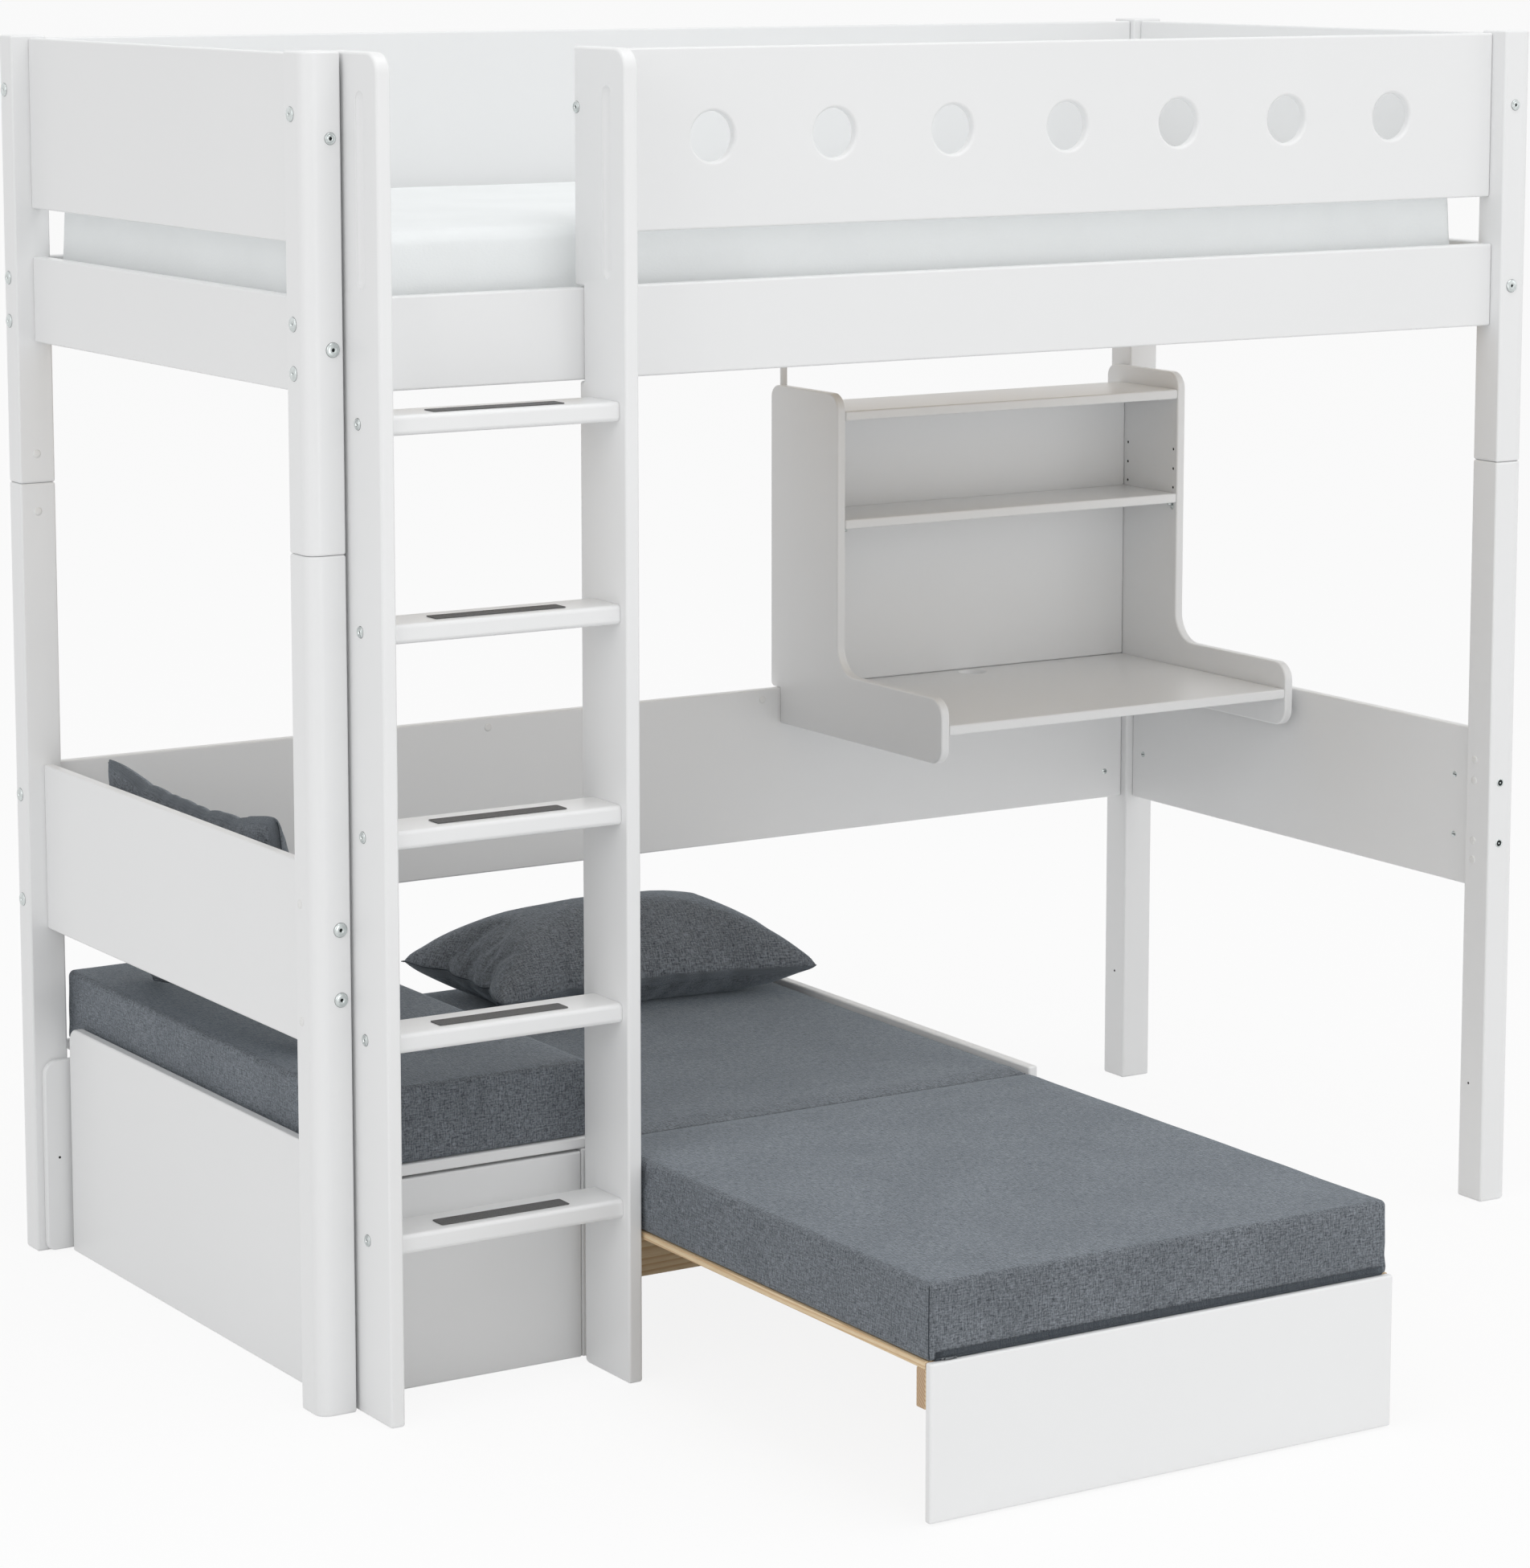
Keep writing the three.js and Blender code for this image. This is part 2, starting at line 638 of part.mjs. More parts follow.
// The upper bed's bearers, slats with their two straps, and mattress
function upperBed() {
  const group = new THREE.Group();
  const bearerTop = railTop - bearerDrop;
  const frontInner = longRailInset + railThickness;
  const backInner = bedWidth - frontInner;
  const bearerHigh = [bearerTop - bearerSide, bearerTop];
  const along = [innerLeft, innerRight];
  const frontBearer = [frontInner + fit, frontInner + fit + bearerSide];
  const backBearer = frontBearer.map((y) => bedWidth - y).reverse();
  group.add(board("front_bearer", pine, along, frontBearer, bearerHigh));
  group.add(board("back_bearer", pine, along, backBearer, bearerHigh));

  const slatAcross = [frontInner + slatEndGap, backInner - slatEndGap];
  const slatHigh = [slatTop - slatThickness, slatTop];
  const firstSlat = postSide + firstSlatGap;
  const lastSlat = bedLength - firstSlat - slatWidth;
  const slats = Array.from({ length: slatCount }, (_, i) => {
    const x = firstSlat + ((lastSlat - firstSlat) * i) / (slatCount - 1);
    return block([x, x + slatWidth], slatAcross, slatHigh);
  });
  const strapHigh = [slatHigh[0] + strapSink - strapThickness, slatHigh[0] + strapSink];
  const straps = [slatAcross[0] + strapInset, slatAcross[1] - strapInset - strapWidth].map((y) =>
    block([firstSlat, lastSlat + slatWidth], [y, y + strapWidth], strapHigh),
  );
  group.add(piece("slat_base", pine, joinedGeometry([...slats, ...straps])));

  const left = postSide + mattressHeadGap;
  const right = bedLength - postSide - mattressFootGap;
  const front = frontInner + mattressSideGap;
  const mattress = cushionGeometry({
    length: right - left,
    width: bedWidth - 2 * front,
    thickness: mattressThickness,
    corner: mattressCornerRounding,
    crown: mattressCrown,
  });
  const placed = piece("upper_mattress", whiteCloth, mattress);
  placed.position.set((left + right) / 2, bedWidth / 2, mattressBottom);
  group.add(placed);
  return group;
}

// One side of the desk: an arm at the front, a throat, and an upright that carries the shelves.
// At the back it stands on the lower back panel.
function deskSide(name, x0) {
  const meetsPanel = panelFront - fit;
  const rear = panelFront + rearDepth;
  const outline = roundedShape(
    [
      [meetsPanel, armBottom],
      [deskFront, armBottom, armFootRounding],
      [deskFront, armTop, armHeadRounding],
      [uprightFront, armTop, throatRounding],
      [uprightFront, deskSideTop, uprightFrontRounding],
      [rear, deskSideTop, uprightRearRounding],
      [rear, panelTop + fit, deskNotchRounding],
      [meetsPanel, panelTop + fit],
    ].reverse(),
    5,
  );
  return piece(name, lacquer, extrudeAlongX(outline, [x0, x0 + deskBoard]));
}

// The desk with its back, shelves and the bar that hangs it from the back rail
function desk() {
  const group = new THREE.Group();
  group.add(deskSide("desk_side_left", deskLeft));
  group.add(deskSide("desk_side_right", deskInnerRight));
  const between = [deskInnerLeft + fit, deskInnerRight - fit];
  const topAcross = [deskFront, deskBackFace];
  const topHigh = [deskTopSurface - deskBoard, deskTopSurface];
  const hole = new THREE.CylinderGeometry(
    cableHoleDiameter / 2,
    cableHoleDiameter / 2,
    deskBoard + 2,
    24,
  );
  hole.rotateX(Math.PI / 2);
  hole.translate(
    (deskLeft + deskRight) / 2,
    deskBackFront - cableHoleMargin,
    deskTopSurface - deskBoard / 2,
  );
  const top = cutGeometry(block(between, topAcross, topHigh), [hole]);
  group.add(piece("desk_top", lacquer, top));
  const backHigh = [deskTopSurface + fit, topShelfBottom - fit];
  const backAcross = [deskBackFront, deskBackFace];
  group.add(board("desk_back", lacquer, between, backAcross, backHigh));
  const topShelfAcross = [uprightFront, deskBackFace];
  const topShelfHigh = [topShelfBottom, topShelfBottom + deskBoard];
  group.add(board("top_shelf", lacquer, between, topShelfAcross, topShelfHigh));
  const middleAcross = [uprightFront, deskBackFront - fit];
  const middleHigh = [middleShelfBottom, middleShelfBottom + deskBoard];
  group.add(board("middle_shelf", lacquer, between, middleAcross, middleHigh));
  const hangerFront = bedWidth - longRailInset + fit;
  const hangerAcross = [hangerFront, hangerFront + hangerThickness];
  const hangerAlong = [between[0], between[0] + hangerWidth];
  const hangerHigh = [deskSideTop - hangerLap, railTop - hangerTopDrop];
  group.add(board("desk_hanger", lacquer, hangerAlong, hangerAcross, hangerHigh));
  return group;
}

// The boards of the sofa
function sofaFrame() {
  const group = new THREE.Group();
  const deep = [sofaFront, sofaBack];
  const endPanelBack = bedWidth - postSide - endPanelBackGap;
  const endPanel = roundedShape([
    [innerFront, 0],
    [endPanelBack, 0],
    [endPanelBack, endPanelHeight, endPanelRounding],
    [innerFront, endPanelHeight],
  ]);
  const endPanelAlong = [endPanelLeft, seatLeft];
  group.add(piece("seat_end_panel", lacquer, extrudeAlongX(endPanel, endPanelAlong)));
  const backBoard = roundedShape([
    [backBoardLeft, backBoardBottom, backBoardFootRounding],
    [dividerLeft - fit, backBoardBottom],
    [dividerLeft - fit, backBoardTop],
    [backBoardLeft, backBoardTop, backBoardTopRounding],
  ]);
  const backBoardAcross = [innerBack - backBoardThickness, innerBack];
  group.add(piece("sofa_back_board", lacquer, extrudeAlongY(backBoard, backBoardAcross)));
  const frontAlong = [seatLeft + fit, dividerLeft - fit];
  const frontAcross = [sofaFront, sofaFront + sofaBoard];
  group.add(board("seat_front_panel", lacquer, frontAlong, frontAcross, [0, frontPanelHeight]));
  const dividerAlong = [dividerLeft, dividerRight];
  group.add(board("seat_divider", lacquer, dividerAlong, deep, [0, dividerHeight]));
  const deckAlong = [seatLeft + fit, deckRight];
  group.add(board("seat_deck", lacquer, deckAlong, deep, [deckBottom, deckTop]));
  const rightAlong = [rightSideLeft, rightSideLeft + sofaBoard];
  group.add(board("sofa_right_side", lacquer, rightAlong, deep, [0, deckTop]));
  return group;
}

// Where the moving slats start along X, spread evenly over the pull-out
function movingSlatStarts() {
  const pitch = (pulloutWidth - guestSlatWidth) / (movingSlats - 1);
  return Array.from({ length: movingSlats }, (_, i) => pulloutLeft + i * pitch);
}

// The fixed slats of the guest bed, each midway between two moving ones, on a front and a back rail
function fixedGuestSlats() {
  const starts = movingSlatStarts();
  const slatBottom = guestSlatTop - fixedSlatThickness;
  const railTopFace = guestSlatTop - movingSlatThickness - fixedRailDrop;
  const along = [dividerRight + fit, rightSideLeft - fit];
  const frontAcross = [fixedRailFront, fixedRailBack];
  const rearAcross = [rearRailFront, sofaBack];
  const frontRail = block(along, frontAcross, [railTopFace - fixedRailHeight, railTopFace]);
  const rearRail = block(along, rearAcross, [slatBottom - rearRailHeight, slatBottom]);
  const slats = starts.slice(1).flatMap((start, i) => {
    const x = (starts[i] + start) / 2;
    const slatAlong = [x, x + guestSlatWidth];
    const tenonHigh = [railTopFace - slatTenon, slatBottom + slatTenon];
    return [
      block(slatAlong, [fixedRailFront, sofaBack], [slatBottom, guestSlatTop]),
      block(slatAlong, frontAcross, tenonHigh),
      block(slatAlong, rearAcross, tenonHigh),
    ];
  });
  return piece("guest_slats_fixed", pine, joinedGeometry([frontRail, rearRail, ...slats]));
}

// The pull-out: a front board, the rail behind it, and moving slats with a stop rail at their end
function pullout() {
  const group = new THREE.Group();
  const along = [pulloutLeft, pulloutRight];
  const slatBottom = guestSlatTop - movingSlatThickness;
  const boardAcross = [pulloutFront, pulloutFront + pulloutBoard];
  group.add(board("pullout_front", lacquer, along, boardAcross, [pulloutFloorGap, guestSlatTop]));
  const railAcross = [movingSlatFront, movingSlatFront + frontRailDepth];
  const railHigh = [slatBottom - fit - pulloutRailHeight, slatBottom - fit];
  group.add(board("pullout_front_rail", pine, along, railAcross, railHigh));
  const stopAcross = [stopRailOut - stopRailDepth, stopRailOut];
  const stopRail = block(along, stopAcross, [slatBottom - stopRailHeight, slatBottom]);
  const slats = movingSlatStarts().flatMap((x) => {
    const slatAlong = [x, x + guestSlatWidth];
    return [
      block(slatAlong, [movingSlatFront, stopRailOut], [slatBottom, guestSlatTop]),
      block(slatAlong, stopAcross, [slatBottom - slatTenon, slatBottom + slatTenon]),
    ];
  });
  group.add(piece("pullout_slats", pine, joinedGeometry([stopRail, ...slats])));
  return group;
}

// A cushion between two values along X and along Y, standing at a height
function placedCushion(name, finish, [x0, x1], [y0, y1], z, thickness, corner, crown) {
  const geometry = cushionGeometry({ length: x1 - x0, width: y1 - y0, thickness, corner, crown });
  const cushion = piece(name, finish, geometry);
  cushion.position.set((x0 + x1) / 2, (y0 + y1) / 2, z);
  return cushion;
}

// The slider of the mattress's zip, a body on the rounded lower edge and a tab along the zip
function zipSlider() {
  const left = guestMattressLeft + zipSliderSide;
  const back = guestMattressFront + edgeRounding * edgeMiddle - fit;
  const front = back - zipSliderWidth;
  const top = guestMattressBottom + edgeRounding * edgeMiddle;
  const high = [top - zipSliderHeight, top];
  const body = block([left, left + zipSliderLength], [front, back], high);
  const tabAlong = [left + zipSliderLength / 2, left + zipSliderLength / 2 + zipTabLength];
  const tab = block(tabAlong, [front, front + zipTabThickness], high);
  return piece("zip_slider", zipMetal, joinedGeometry([body, tab]));
}

// The seat cushion, the guest mattress's two halves and the zip
function cushions() {
  const group = new THREE.Group();
  const seatAlong = [seatLeft + seatCushionGap, deckRight];
  const seatAcross = [sofaFront + seatCushionFrontGap, sofaBack];
  const seat = [seatAlong, seatAcross, deckTop + fit, seatCushionThickness];
  group.add(placedCushion("seat_cushion", greyCloth, ...seat, guestCornerRounding, cushionCrown));
  const along = [guestMattressLeft, guestMattressRight];
  const halves = {
    guest_mattress_front: [guestMattressFront, foldLine - fit],
    guest_mattress_back: [foldLine + fit, sofaBack],
  };
  for (const [name, across] of Object.entries(halves)) {
    const size = [along, across, guestMattressBottom, guestMattressThickness];
    group.add(placedCushion(name, greyCloth, ...size, guestCornerRounding, mattressCrown));
  }
  group.add(zipSlider());
  return group;
}

// The pillow that lies at the back of the guest bed
function lyingPillow() {
  const geometry = pillowGeometry({
    above: pillowRise,
    below: 1.35 * pillowUnderside,
    flat: pillowUnderside,
  });
  geometry.rotateZ(lyingPillowTurn);
  geometry.computeBoundingBox();
  const { min, max } = geometry.boundingBox;
  const pillow = piece("pillow_bed", greyCloth, geometry);
  pillow.position.set(
    guestMattressLeft + lyingPillowLeft - min.x,
    bedWidth - lyingPillowBackGap - max.y,
    guestMattressBottom + guestMattressThickness + crownUnderPillow * mattressCrown + fit - min.z,
  );
  return pillow;
}

// The pillow that stands on the seat cushion and leans on the lower left guard
function standingPillow() {
  const geometry = pillowGeometry({
    above: standingPillowBulge,
    below: standingPillowBulge,
    flat: standingPillowBulge,
  });
  const upright = new THREE.Matrix4().makeBasis(
    new THREE.Vector3(0, 1, 0),
    new THREE.Vector3(0, 0, 1),
    new THREE.Vector3(1, 0, 0),
  );
  geometry.applyMatrix4(upright).rotateY(-pillowLean);
  geometry.computeBoundingBox();
  const { min } = geometry.boundingBox;
  const pillow = piece("pillow_back", greyCloth, geometry);
  pillow.position.set(
    panelInset + panelThickness + fit - min.x,
    standingPillowFrontGap - min.y,
    deckTop + fit + seatCushionThickness + cushionCrown + fit - min.z,
  );
  return pillow;
}

const bed = new THREE.Group();
bed.add(posts(), rails(), upperGuards(), lowerPanels(), ladder(), upperBed(), desk());
bed.add(sofaFrame(), fixedGuestSlats(), pullout(), cushions(), lyingPillow(), standingPillow());
bed.position.set(-bedLength / 2, -(bedWidth + pulloutFront) / 2, 0);

const loftBed = new THREE.Group();
loftBed.name = "loft_bed";
loftBed.add(bed);

export default loftBed;
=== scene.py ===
"""The loft bed dressed for the photograph: lacquered boards with rounded edges, planed pine slats,
sewn foam mattresses and pillows, the fasteners that hold the boards, and the camera and light.

Metres, Z up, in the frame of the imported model. Sizes of the pieces come from the frame's boxes;
what the boxes don't say is a named value in millimetres times MM.
"""

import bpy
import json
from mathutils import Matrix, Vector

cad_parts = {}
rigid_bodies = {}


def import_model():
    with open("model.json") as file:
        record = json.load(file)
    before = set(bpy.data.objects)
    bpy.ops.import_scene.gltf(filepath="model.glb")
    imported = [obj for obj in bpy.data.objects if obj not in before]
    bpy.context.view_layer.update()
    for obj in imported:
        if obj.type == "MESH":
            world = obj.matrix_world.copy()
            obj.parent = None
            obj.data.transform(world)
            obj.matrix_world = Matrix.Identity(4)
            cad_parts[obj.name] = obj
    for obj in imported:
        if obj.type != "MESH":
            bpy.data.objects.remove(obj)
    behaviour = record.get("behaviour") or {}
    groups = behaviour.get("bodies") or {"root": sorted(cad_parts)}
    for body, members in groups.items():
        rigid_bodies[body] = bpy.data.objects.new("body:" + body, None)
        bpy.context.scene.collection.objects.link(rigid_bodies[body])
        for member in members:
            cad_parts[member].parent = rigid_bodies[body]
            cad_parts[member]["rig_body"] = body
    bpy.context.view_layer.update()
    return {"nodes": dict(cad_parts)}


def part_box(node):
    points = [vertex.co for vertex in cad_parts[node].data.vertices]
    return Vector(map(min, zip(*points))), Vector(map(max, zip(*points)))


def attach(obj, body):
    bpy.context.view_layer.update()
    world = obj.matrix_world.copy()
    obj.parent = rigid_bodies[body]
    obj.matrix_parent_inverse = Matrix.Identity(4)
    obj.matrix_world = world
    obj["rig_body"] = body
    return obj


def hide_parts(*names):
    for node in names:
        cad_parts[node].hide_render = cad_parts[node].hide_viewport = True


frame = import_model()

import json
import math

import bpy
import numpy as np
from mathutils import Vector
from mathutils.geometry import tessellate_polygon

MM = 0.001
TURN = 2 * math.pi
NO_LENGTH = 1e-9  # metres
NO_AREA = 1e-12  # square metres

# The bed's own front left corner on the floor, from which the fasteners are measured
CORNER = np.array([*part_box("lower_post_front_left")[0][:2], 0.0])
FACINGS = {"left": (-1, 0, 0), "right": (1, 0, 0), "front": (0, -1, 0), "back": (0, 1, 0)}

# Rounded edges
POST_ROUNDING = 20 * MM  # the outer corner of a post
POST_EDGE = 3.5 * MM
BOARD_EDGE = 3 * MM
STILE_EDGE = 4 * MM
RUNG_ROUNDING = 6.5 * MM
SLAT_EDGE = 1.5 * MM
GRIP_CORNER = 3 * MM
GRIP_EDGE = 0.5 * MM

# Steps round a board's corner, a large one and an edge, and round a hole and a small one
CORNER_STEPS = 6
LARGE_CORNER_STEPS = 10
EDGE_STEPS = 3
ROUND_STEPS = 64
SMALL_ROUND_STEPS = 12
BOLT_STEPS = 24
TUBE_STEPS = 6
UPRIGHT = 0.9  # the climb of a tube's path over its length from which it counts as upright

# Each post's corner on the bed's outside, counted counterclockwise from its front left one
OUTER_CORNER = {"front_left": 0, "back_left": 3, "front_right": 1, "back_right": 2}

# Front guard
GUARD_HOLES = 7
GUARD_HOLE_RADIUS = 35 * MM
GUARD_HOLE_RIM = 5 * MM
FIRST_HOLE_MARGIN = 190.5 * MM
LAST_HOLE_MARGIN = 196.5 * MM
GUARD_HOLE_RISE = 127 * MM

# Ladder
RUNGS = 5
NOTCH_CLEARANCE = 2 * MM
NOTCH_EDGE = 1 * MM
STILE_HEAD_ROUNDING = 27 * MM
STILE_FOOT_ROUNDING = 8 * MM
STILE_LAP = 10.5 * MM  # behind the front face of the rail
FIT = 0.3 * MM
GROOVE_WIDTH = 23 * MM
GROOVE_LENGTH = 258 * MM
GROOVE_DEPTH = 7 * MM
GROOVE_RISE = 17 * MM
GROOVE_SETBACK = 47 * MM
GROOVE_RIM = 1 * MM
GROOVE_FILLET = (10.8 * MM, 5.7 * MM)
GROOVE_END = 0.4999  # of its width, so that two corners of an end don't quite meet

# Desk sides
ARM_HEIGHT = 105 * MM
ARM_FOOT_ROUNDING = 28 * MM
ARM_HEAD_ROUNDING = 30 * MM
THROAT_ROUNDING = 48 * MM
UPRIGHT_FRONT_ROUNDING = 28 * MM
UPRIGHT_REAR_ROUNDING = 20 * MM
NOTCH_ROUNDING = 8 * MM
CABLE_HOLE_RADIUS = 22 * MM
CABLE_HOLE_MARGIN = 28 * MM
PIN_HOLE_RADIUS = 2.5 * MM
PIN_HOLE_DEPTH = 8 * MM
PIN_ROWS = (931 * MM, 802.7 * MM)
PIN_HEIGHTS = (1122 * MM, 1089 * MM, 1057 * MM)

# Sofa boards
END_PANEL_ROUNDING = 22 * MM
BACK_BOARD_TOP_ROUNDING = 22 * MM
BACK_BOARD_FOOT_ROUNDING = 12 * MM

# Slats
SLAT_WIDTH = 70 * MM
MOVING_SLATS = 5
MOVING_SLAT_THICKNESS = 10 * MM
FIXED_SLAT_THICKNESS = 9 * MM
STOP_RAIL_DEPTH = 10 * MM
FIXED_RAIL_DEPTH = 20 * MM
FIXED_RAIL_DROP = 0.5 * MM
REAR_RAIL_DEPTH = 16 * MM
REAR_RAIL_HEIGHT = 45 * MM
BED_SLATS = 14
BED_SLAT_THICKNESS = 16 * MM
STRAP_WIDTH = 25 * MM
STRAP_INSET = 170 * MM
STRAP_THICKNESS = 2 * MM

# Foam covers. The sides of a block are numbered as here.
LEFT, RIGHT, FRONT, BACK, UNDER, OVER = range(6)
FOAM_SPACING = 12 * MM
FOAM_EDGE = 9 * MM
FOAM_FOOT = 4 * MM
FOAM_CAP = 1.5 * MM
UPPER_FOAM_SPACING = 18 * MM
UPPER_FOAM_EDGE = 22 * MM
UPPER_FOAM_CAP = 7 * MM
EDGE_ANGLES = (45, 30, 15)  # degrees from an edge's flat side to its grid lines
FOAM_UNEVEN = 0.35  # of the cap
UNEVEN_LENGTH = 12  # times the edge
STILL_REACH = 2.5  # times the edge: over it the cover's freedom to puff grows from none to full
STILL_FREEDOM = 0.02  # below which a point of the cover is held still
RIPPLE_WAVES = 9
FOLD_DROP = 2.5 * MM
FOLD_REACH = 34 * MM
SEAM_THREAD = 0.9 * MM
SEAM_DIP = 1.6 * MM
PUCKER_DEPTH = 1.2 * MM
PUCKER_LENGTH = 21 * MM
PUCKER_REACH = 16 * MM
PUCKER_WANDER = 3
PUCKER_WANDER_LENGTH = 50 * MM
SIDE_STEP = 1.7  # metres between two sides of a block on the cloth's map

# Pillows
PILLOW_SPACING = 7 * MM
PILLOW_LENGTH = 565 * MM
PILLOW_DEPTH = 355 * MM
PILLOW_PLUMPNESS = 0.72
START_RISE = 25 * MM
SHEET_STEP = 1.3  # metres between the two sheets of a pillow on the cloth's map
LYING_SIZE = (108 * MM, 69 * MM)
LYING_UNDERSIDE = 51 * MM
LYING_SLACK = 0.5
LYING_TURN = -2.3
STANDING_SIZE = (67 * MM, 67 * MM)
STANDING_SLACK = 0.72
STANDING_TURN = -11.2
UNDERSIDE_EASE = 6 * MM

# Cloth simulation
FOAM_PRESSURE = 4
FOAM_STIFFNESS = 25
FOAM_BENDING = 0.6
PILLOW_PRESSURE = 9
PILLOW_STIFFNESS = 12
PILLOW_BENDING = 0.05
SHEAR_EASE = 3  # times softer in shear than along the threads
CLOTH_QUALITY = 6
CLOTH_MASS = 0.25
CLOTH_FRAMES = 20

# Profiles of the fasteners: radius and height above the surface, from the back to the middle of the
# face, in millimetres
FLAT_BOLT = [
    (9.9, -0.4), (9.9, 0.6), (9.5, 1.4), (8.9, 2.0), (8.0, 2.35), (5.2, 2.6), (3.4, 2.7),
    (3.0, 2.5), (2.8, 2.2), (2.8, 0.6),
]
RINGED_BOLT = [
    (8.0, -0.4), (8.0, 0.6), (7.6, 1.5), (6.8, 2.0), (5.9, 1.6), (5.2, 0.9), (4.7, 1.9),
    (3.9, 2.4), (2.8, 2.1), (2.8, 0.6),
]
BOLT_HEX = (8, 9)  # the rows of a bolt's profile that are hexagons
# The dark hex disc at the floor of each bolt's socket: painted shade in the recess
BOLT_SOCKET_SHADE = [(2.6, 0.5), (2.6, 0.8)]
SOCKET_HEX = (0, 1)
# A thin dark ring of painted shade round each bolt's head: its width past the head, and its depth
# and height at the board
SHADE_RING_WIDTH = 0.35
SHADE_RING_DEPTH = 0.3
SHADE_RING_HEIGHT = 0.1
SOCKET_RING = [(6.6, -0.4), (6.6, 0.5), (6.1, 1.0), (5.1, 1.0), (4.7, 0.5), (4.7, 0.1)]
# The dark disc in a post socket's recess, round its pin: painted shade
SOCKET_SHADE_DISC = [(4.7, -0.3), (4.7, 0.3), (4.2, 0.45)]
SOCKET_PIN = [(1.3, -0.2), (1.3, 0.6), (0.8, 0.9)]
COVER_CAP = [(6.2, -0.4), (6.2, 0.4), (5.7, 0.9), (3.0, 1.15)]
BARREL_NUT = [(5.0, -0.4), (5.0, 0.3), (4.6, 0.6)]
# A dark disc that stands for a screw hole: painted shade in the hole
SCREW_HOLE_SHADE = [(2.0, -0.2), (2.0, 0.15)]
# A dark disc a little way down each shelf pin hole: painted shade in the hole
PIN_SHADE = [(2.35, -1.6), (2.35, -0.7)]
SHELF_PIN = [(2.4, -2.0), (2.4, 9.0), (2.0, 9.6)]
PIN_TAB = [(4.2, -0.3), (4.2, 1.4), (3.8, 1.8), (1.5, 1.8), (1.5, 0.6)]
PIN_TAB_DROP = 6
# A dark bar across a barrel nut's head, for its slot: painted shade in the slot
SLOT_LENGTH, SLOT_HEIGHT, SLOT_RISE = 7.5, 1.2, 0.7
SLOT_EDGE = 0.1 * MM

# Places of the fasteners, in millimetres from the bed's corner
POST_SIDE = 56
SIDE_BOLTS_FRONT = (35.5, (1758, 1482.6, 1417.5))  # on a front post's side: depth, heights
SIDE_BOLTS_BACK = (28, (1760, 1482.6, 1418.5, 703.6, 542.9))  # from the back
FACE_BOLT_INSETS = (40, 34.5)  # on the posts' faces, from the left and from the right
FACE_BOLTS = (1449.7, 671.4, 575.7)
FACE_RINGED_BOLT = 1726.6
RUNG_BOLTS_DEPTH = -28
STILE_BOLT = (37.5, 1758)
POST_SOCKETS = (672.3, 576.1)
LEFT_POST_CAPS = ((40, 704.4), (39, 543.4))
RIGHT_POST_CAPS = (36.6, (705.8, 672.4, 577.2, 546.2))
BACK_POST_CAPS = (27, (1221, 1134.6))
BACK_PANEL_CAPS = ((794, 735), (1309, 734))
BACK_PANEL_NUT = (2007.4, 546.2)
RIGHT_PANEL_NUTS = ((98.2, 671.5), (98.2, 575.5), (920.4, 578.3))
RIGHT_BACK_HOLE = (29, 186.6)  # from the back
RIGHT_FRONT_HOLE = (34.8, 186.4)
BACK_BOARD_HOLE = (33.7, 146)

# Zip along the mattress's lower front edge
ZIP_MARGIN = 12 * MM
ZIP_STATIONS = 60
ZIP_TAPE_SPAN = (-20, 80)  # degrees below the level, round the rounded edge
ZIP_TAPE_STEPS = 12
ZIP_TAPE_LIFT = (0.2 * MM, 1.6 * MM)
ZIP_TAPE_RISE = 5.5 * MM
ZIP_TAPE_MAP = (0.003, 0.001)  # metres on the cloth's map for each vertex
ZIP_COIL_LIFT = 1.5 * MM
ZIP_COIL_SLANT = 0.3  # radians below the level
ZIP_COIL_RADIUS = 0.8 * MM
ZIP_TOOTH = 0.3 * MM
ZIP_TOOTH_STEP = 0.7 * MM
ZIP_COIL_MAP = (0.0007, 0)
SLIDER_SETBACK = 1.8 * MM
SLIDER_LENGTH = 9 * MM
SLIDER_CORNER = 1.2 * MM
SLIDER_EDGE = 0.8 * MM
TAB_THICKNESS = 1.6 * MM
TAB_CORNER = 1.4 * MM
TAB_EDGE = 0.4 * MM
TAB_SLOT = (6 * MM, 2 * MM, 1 * MM)  # from the tab's end, to the end, and from its sides
TAB_SLOT_CORNER = 0.4 * MM
TAB_SLOT_EDGE = 0.2 * MM

# Viewpoint of the photograph: metres, degrees, and the lens in millimetres
CAMERA_PLACE = (-3.8143, -5.6578, 2.0222)
CAMERA_YAW = 32.041
CAMERA_PITCH = 8.257
CAMERA_LENS = 108.52
CAMERA_SHIFT = -0.12
CAMERA_END = 400

# Light. A lamp is its place, its width in metres and its power in watts.
LAMPS = {
    "left": ((-4.5, -2.0, 3.0), 3.0, 30),
    "top": ((0.3, -1.5, 6.4), 4.0, 92),
    "right": ((4.4, -2.4, 2.6), 2.6, 12),
    "low": ((0.3, -4.8, 0.9), 1.8, 20),
}
LAMPS_AIM = (0, 0, 0.9)
WHITE = (1, 1, 1, 1)
WORLD_LIGHT = 0.7
FLOOR_COLOUR = (0.86, 0.86, 0.86, 1)
FLOOR_WHITE = 0.88
FLOOR_REACH = 150.0

# Colours
LACQUER = ((0.852, 0.857, 0.86), (0.86, 0.865, 0.868))
PINE_PALE = (0.82, 0.66, 0.44)
PINE_DARK = (0.58, 0.36, 0.17)
# End grain: its own darker tone, deepened as painted shade
PINE_END_GRAIN_AND_SHADE = (0.36, 0.21, 0.12)
FUZZ_TINT = (0.78, 0.89, 1.0, 1.0)

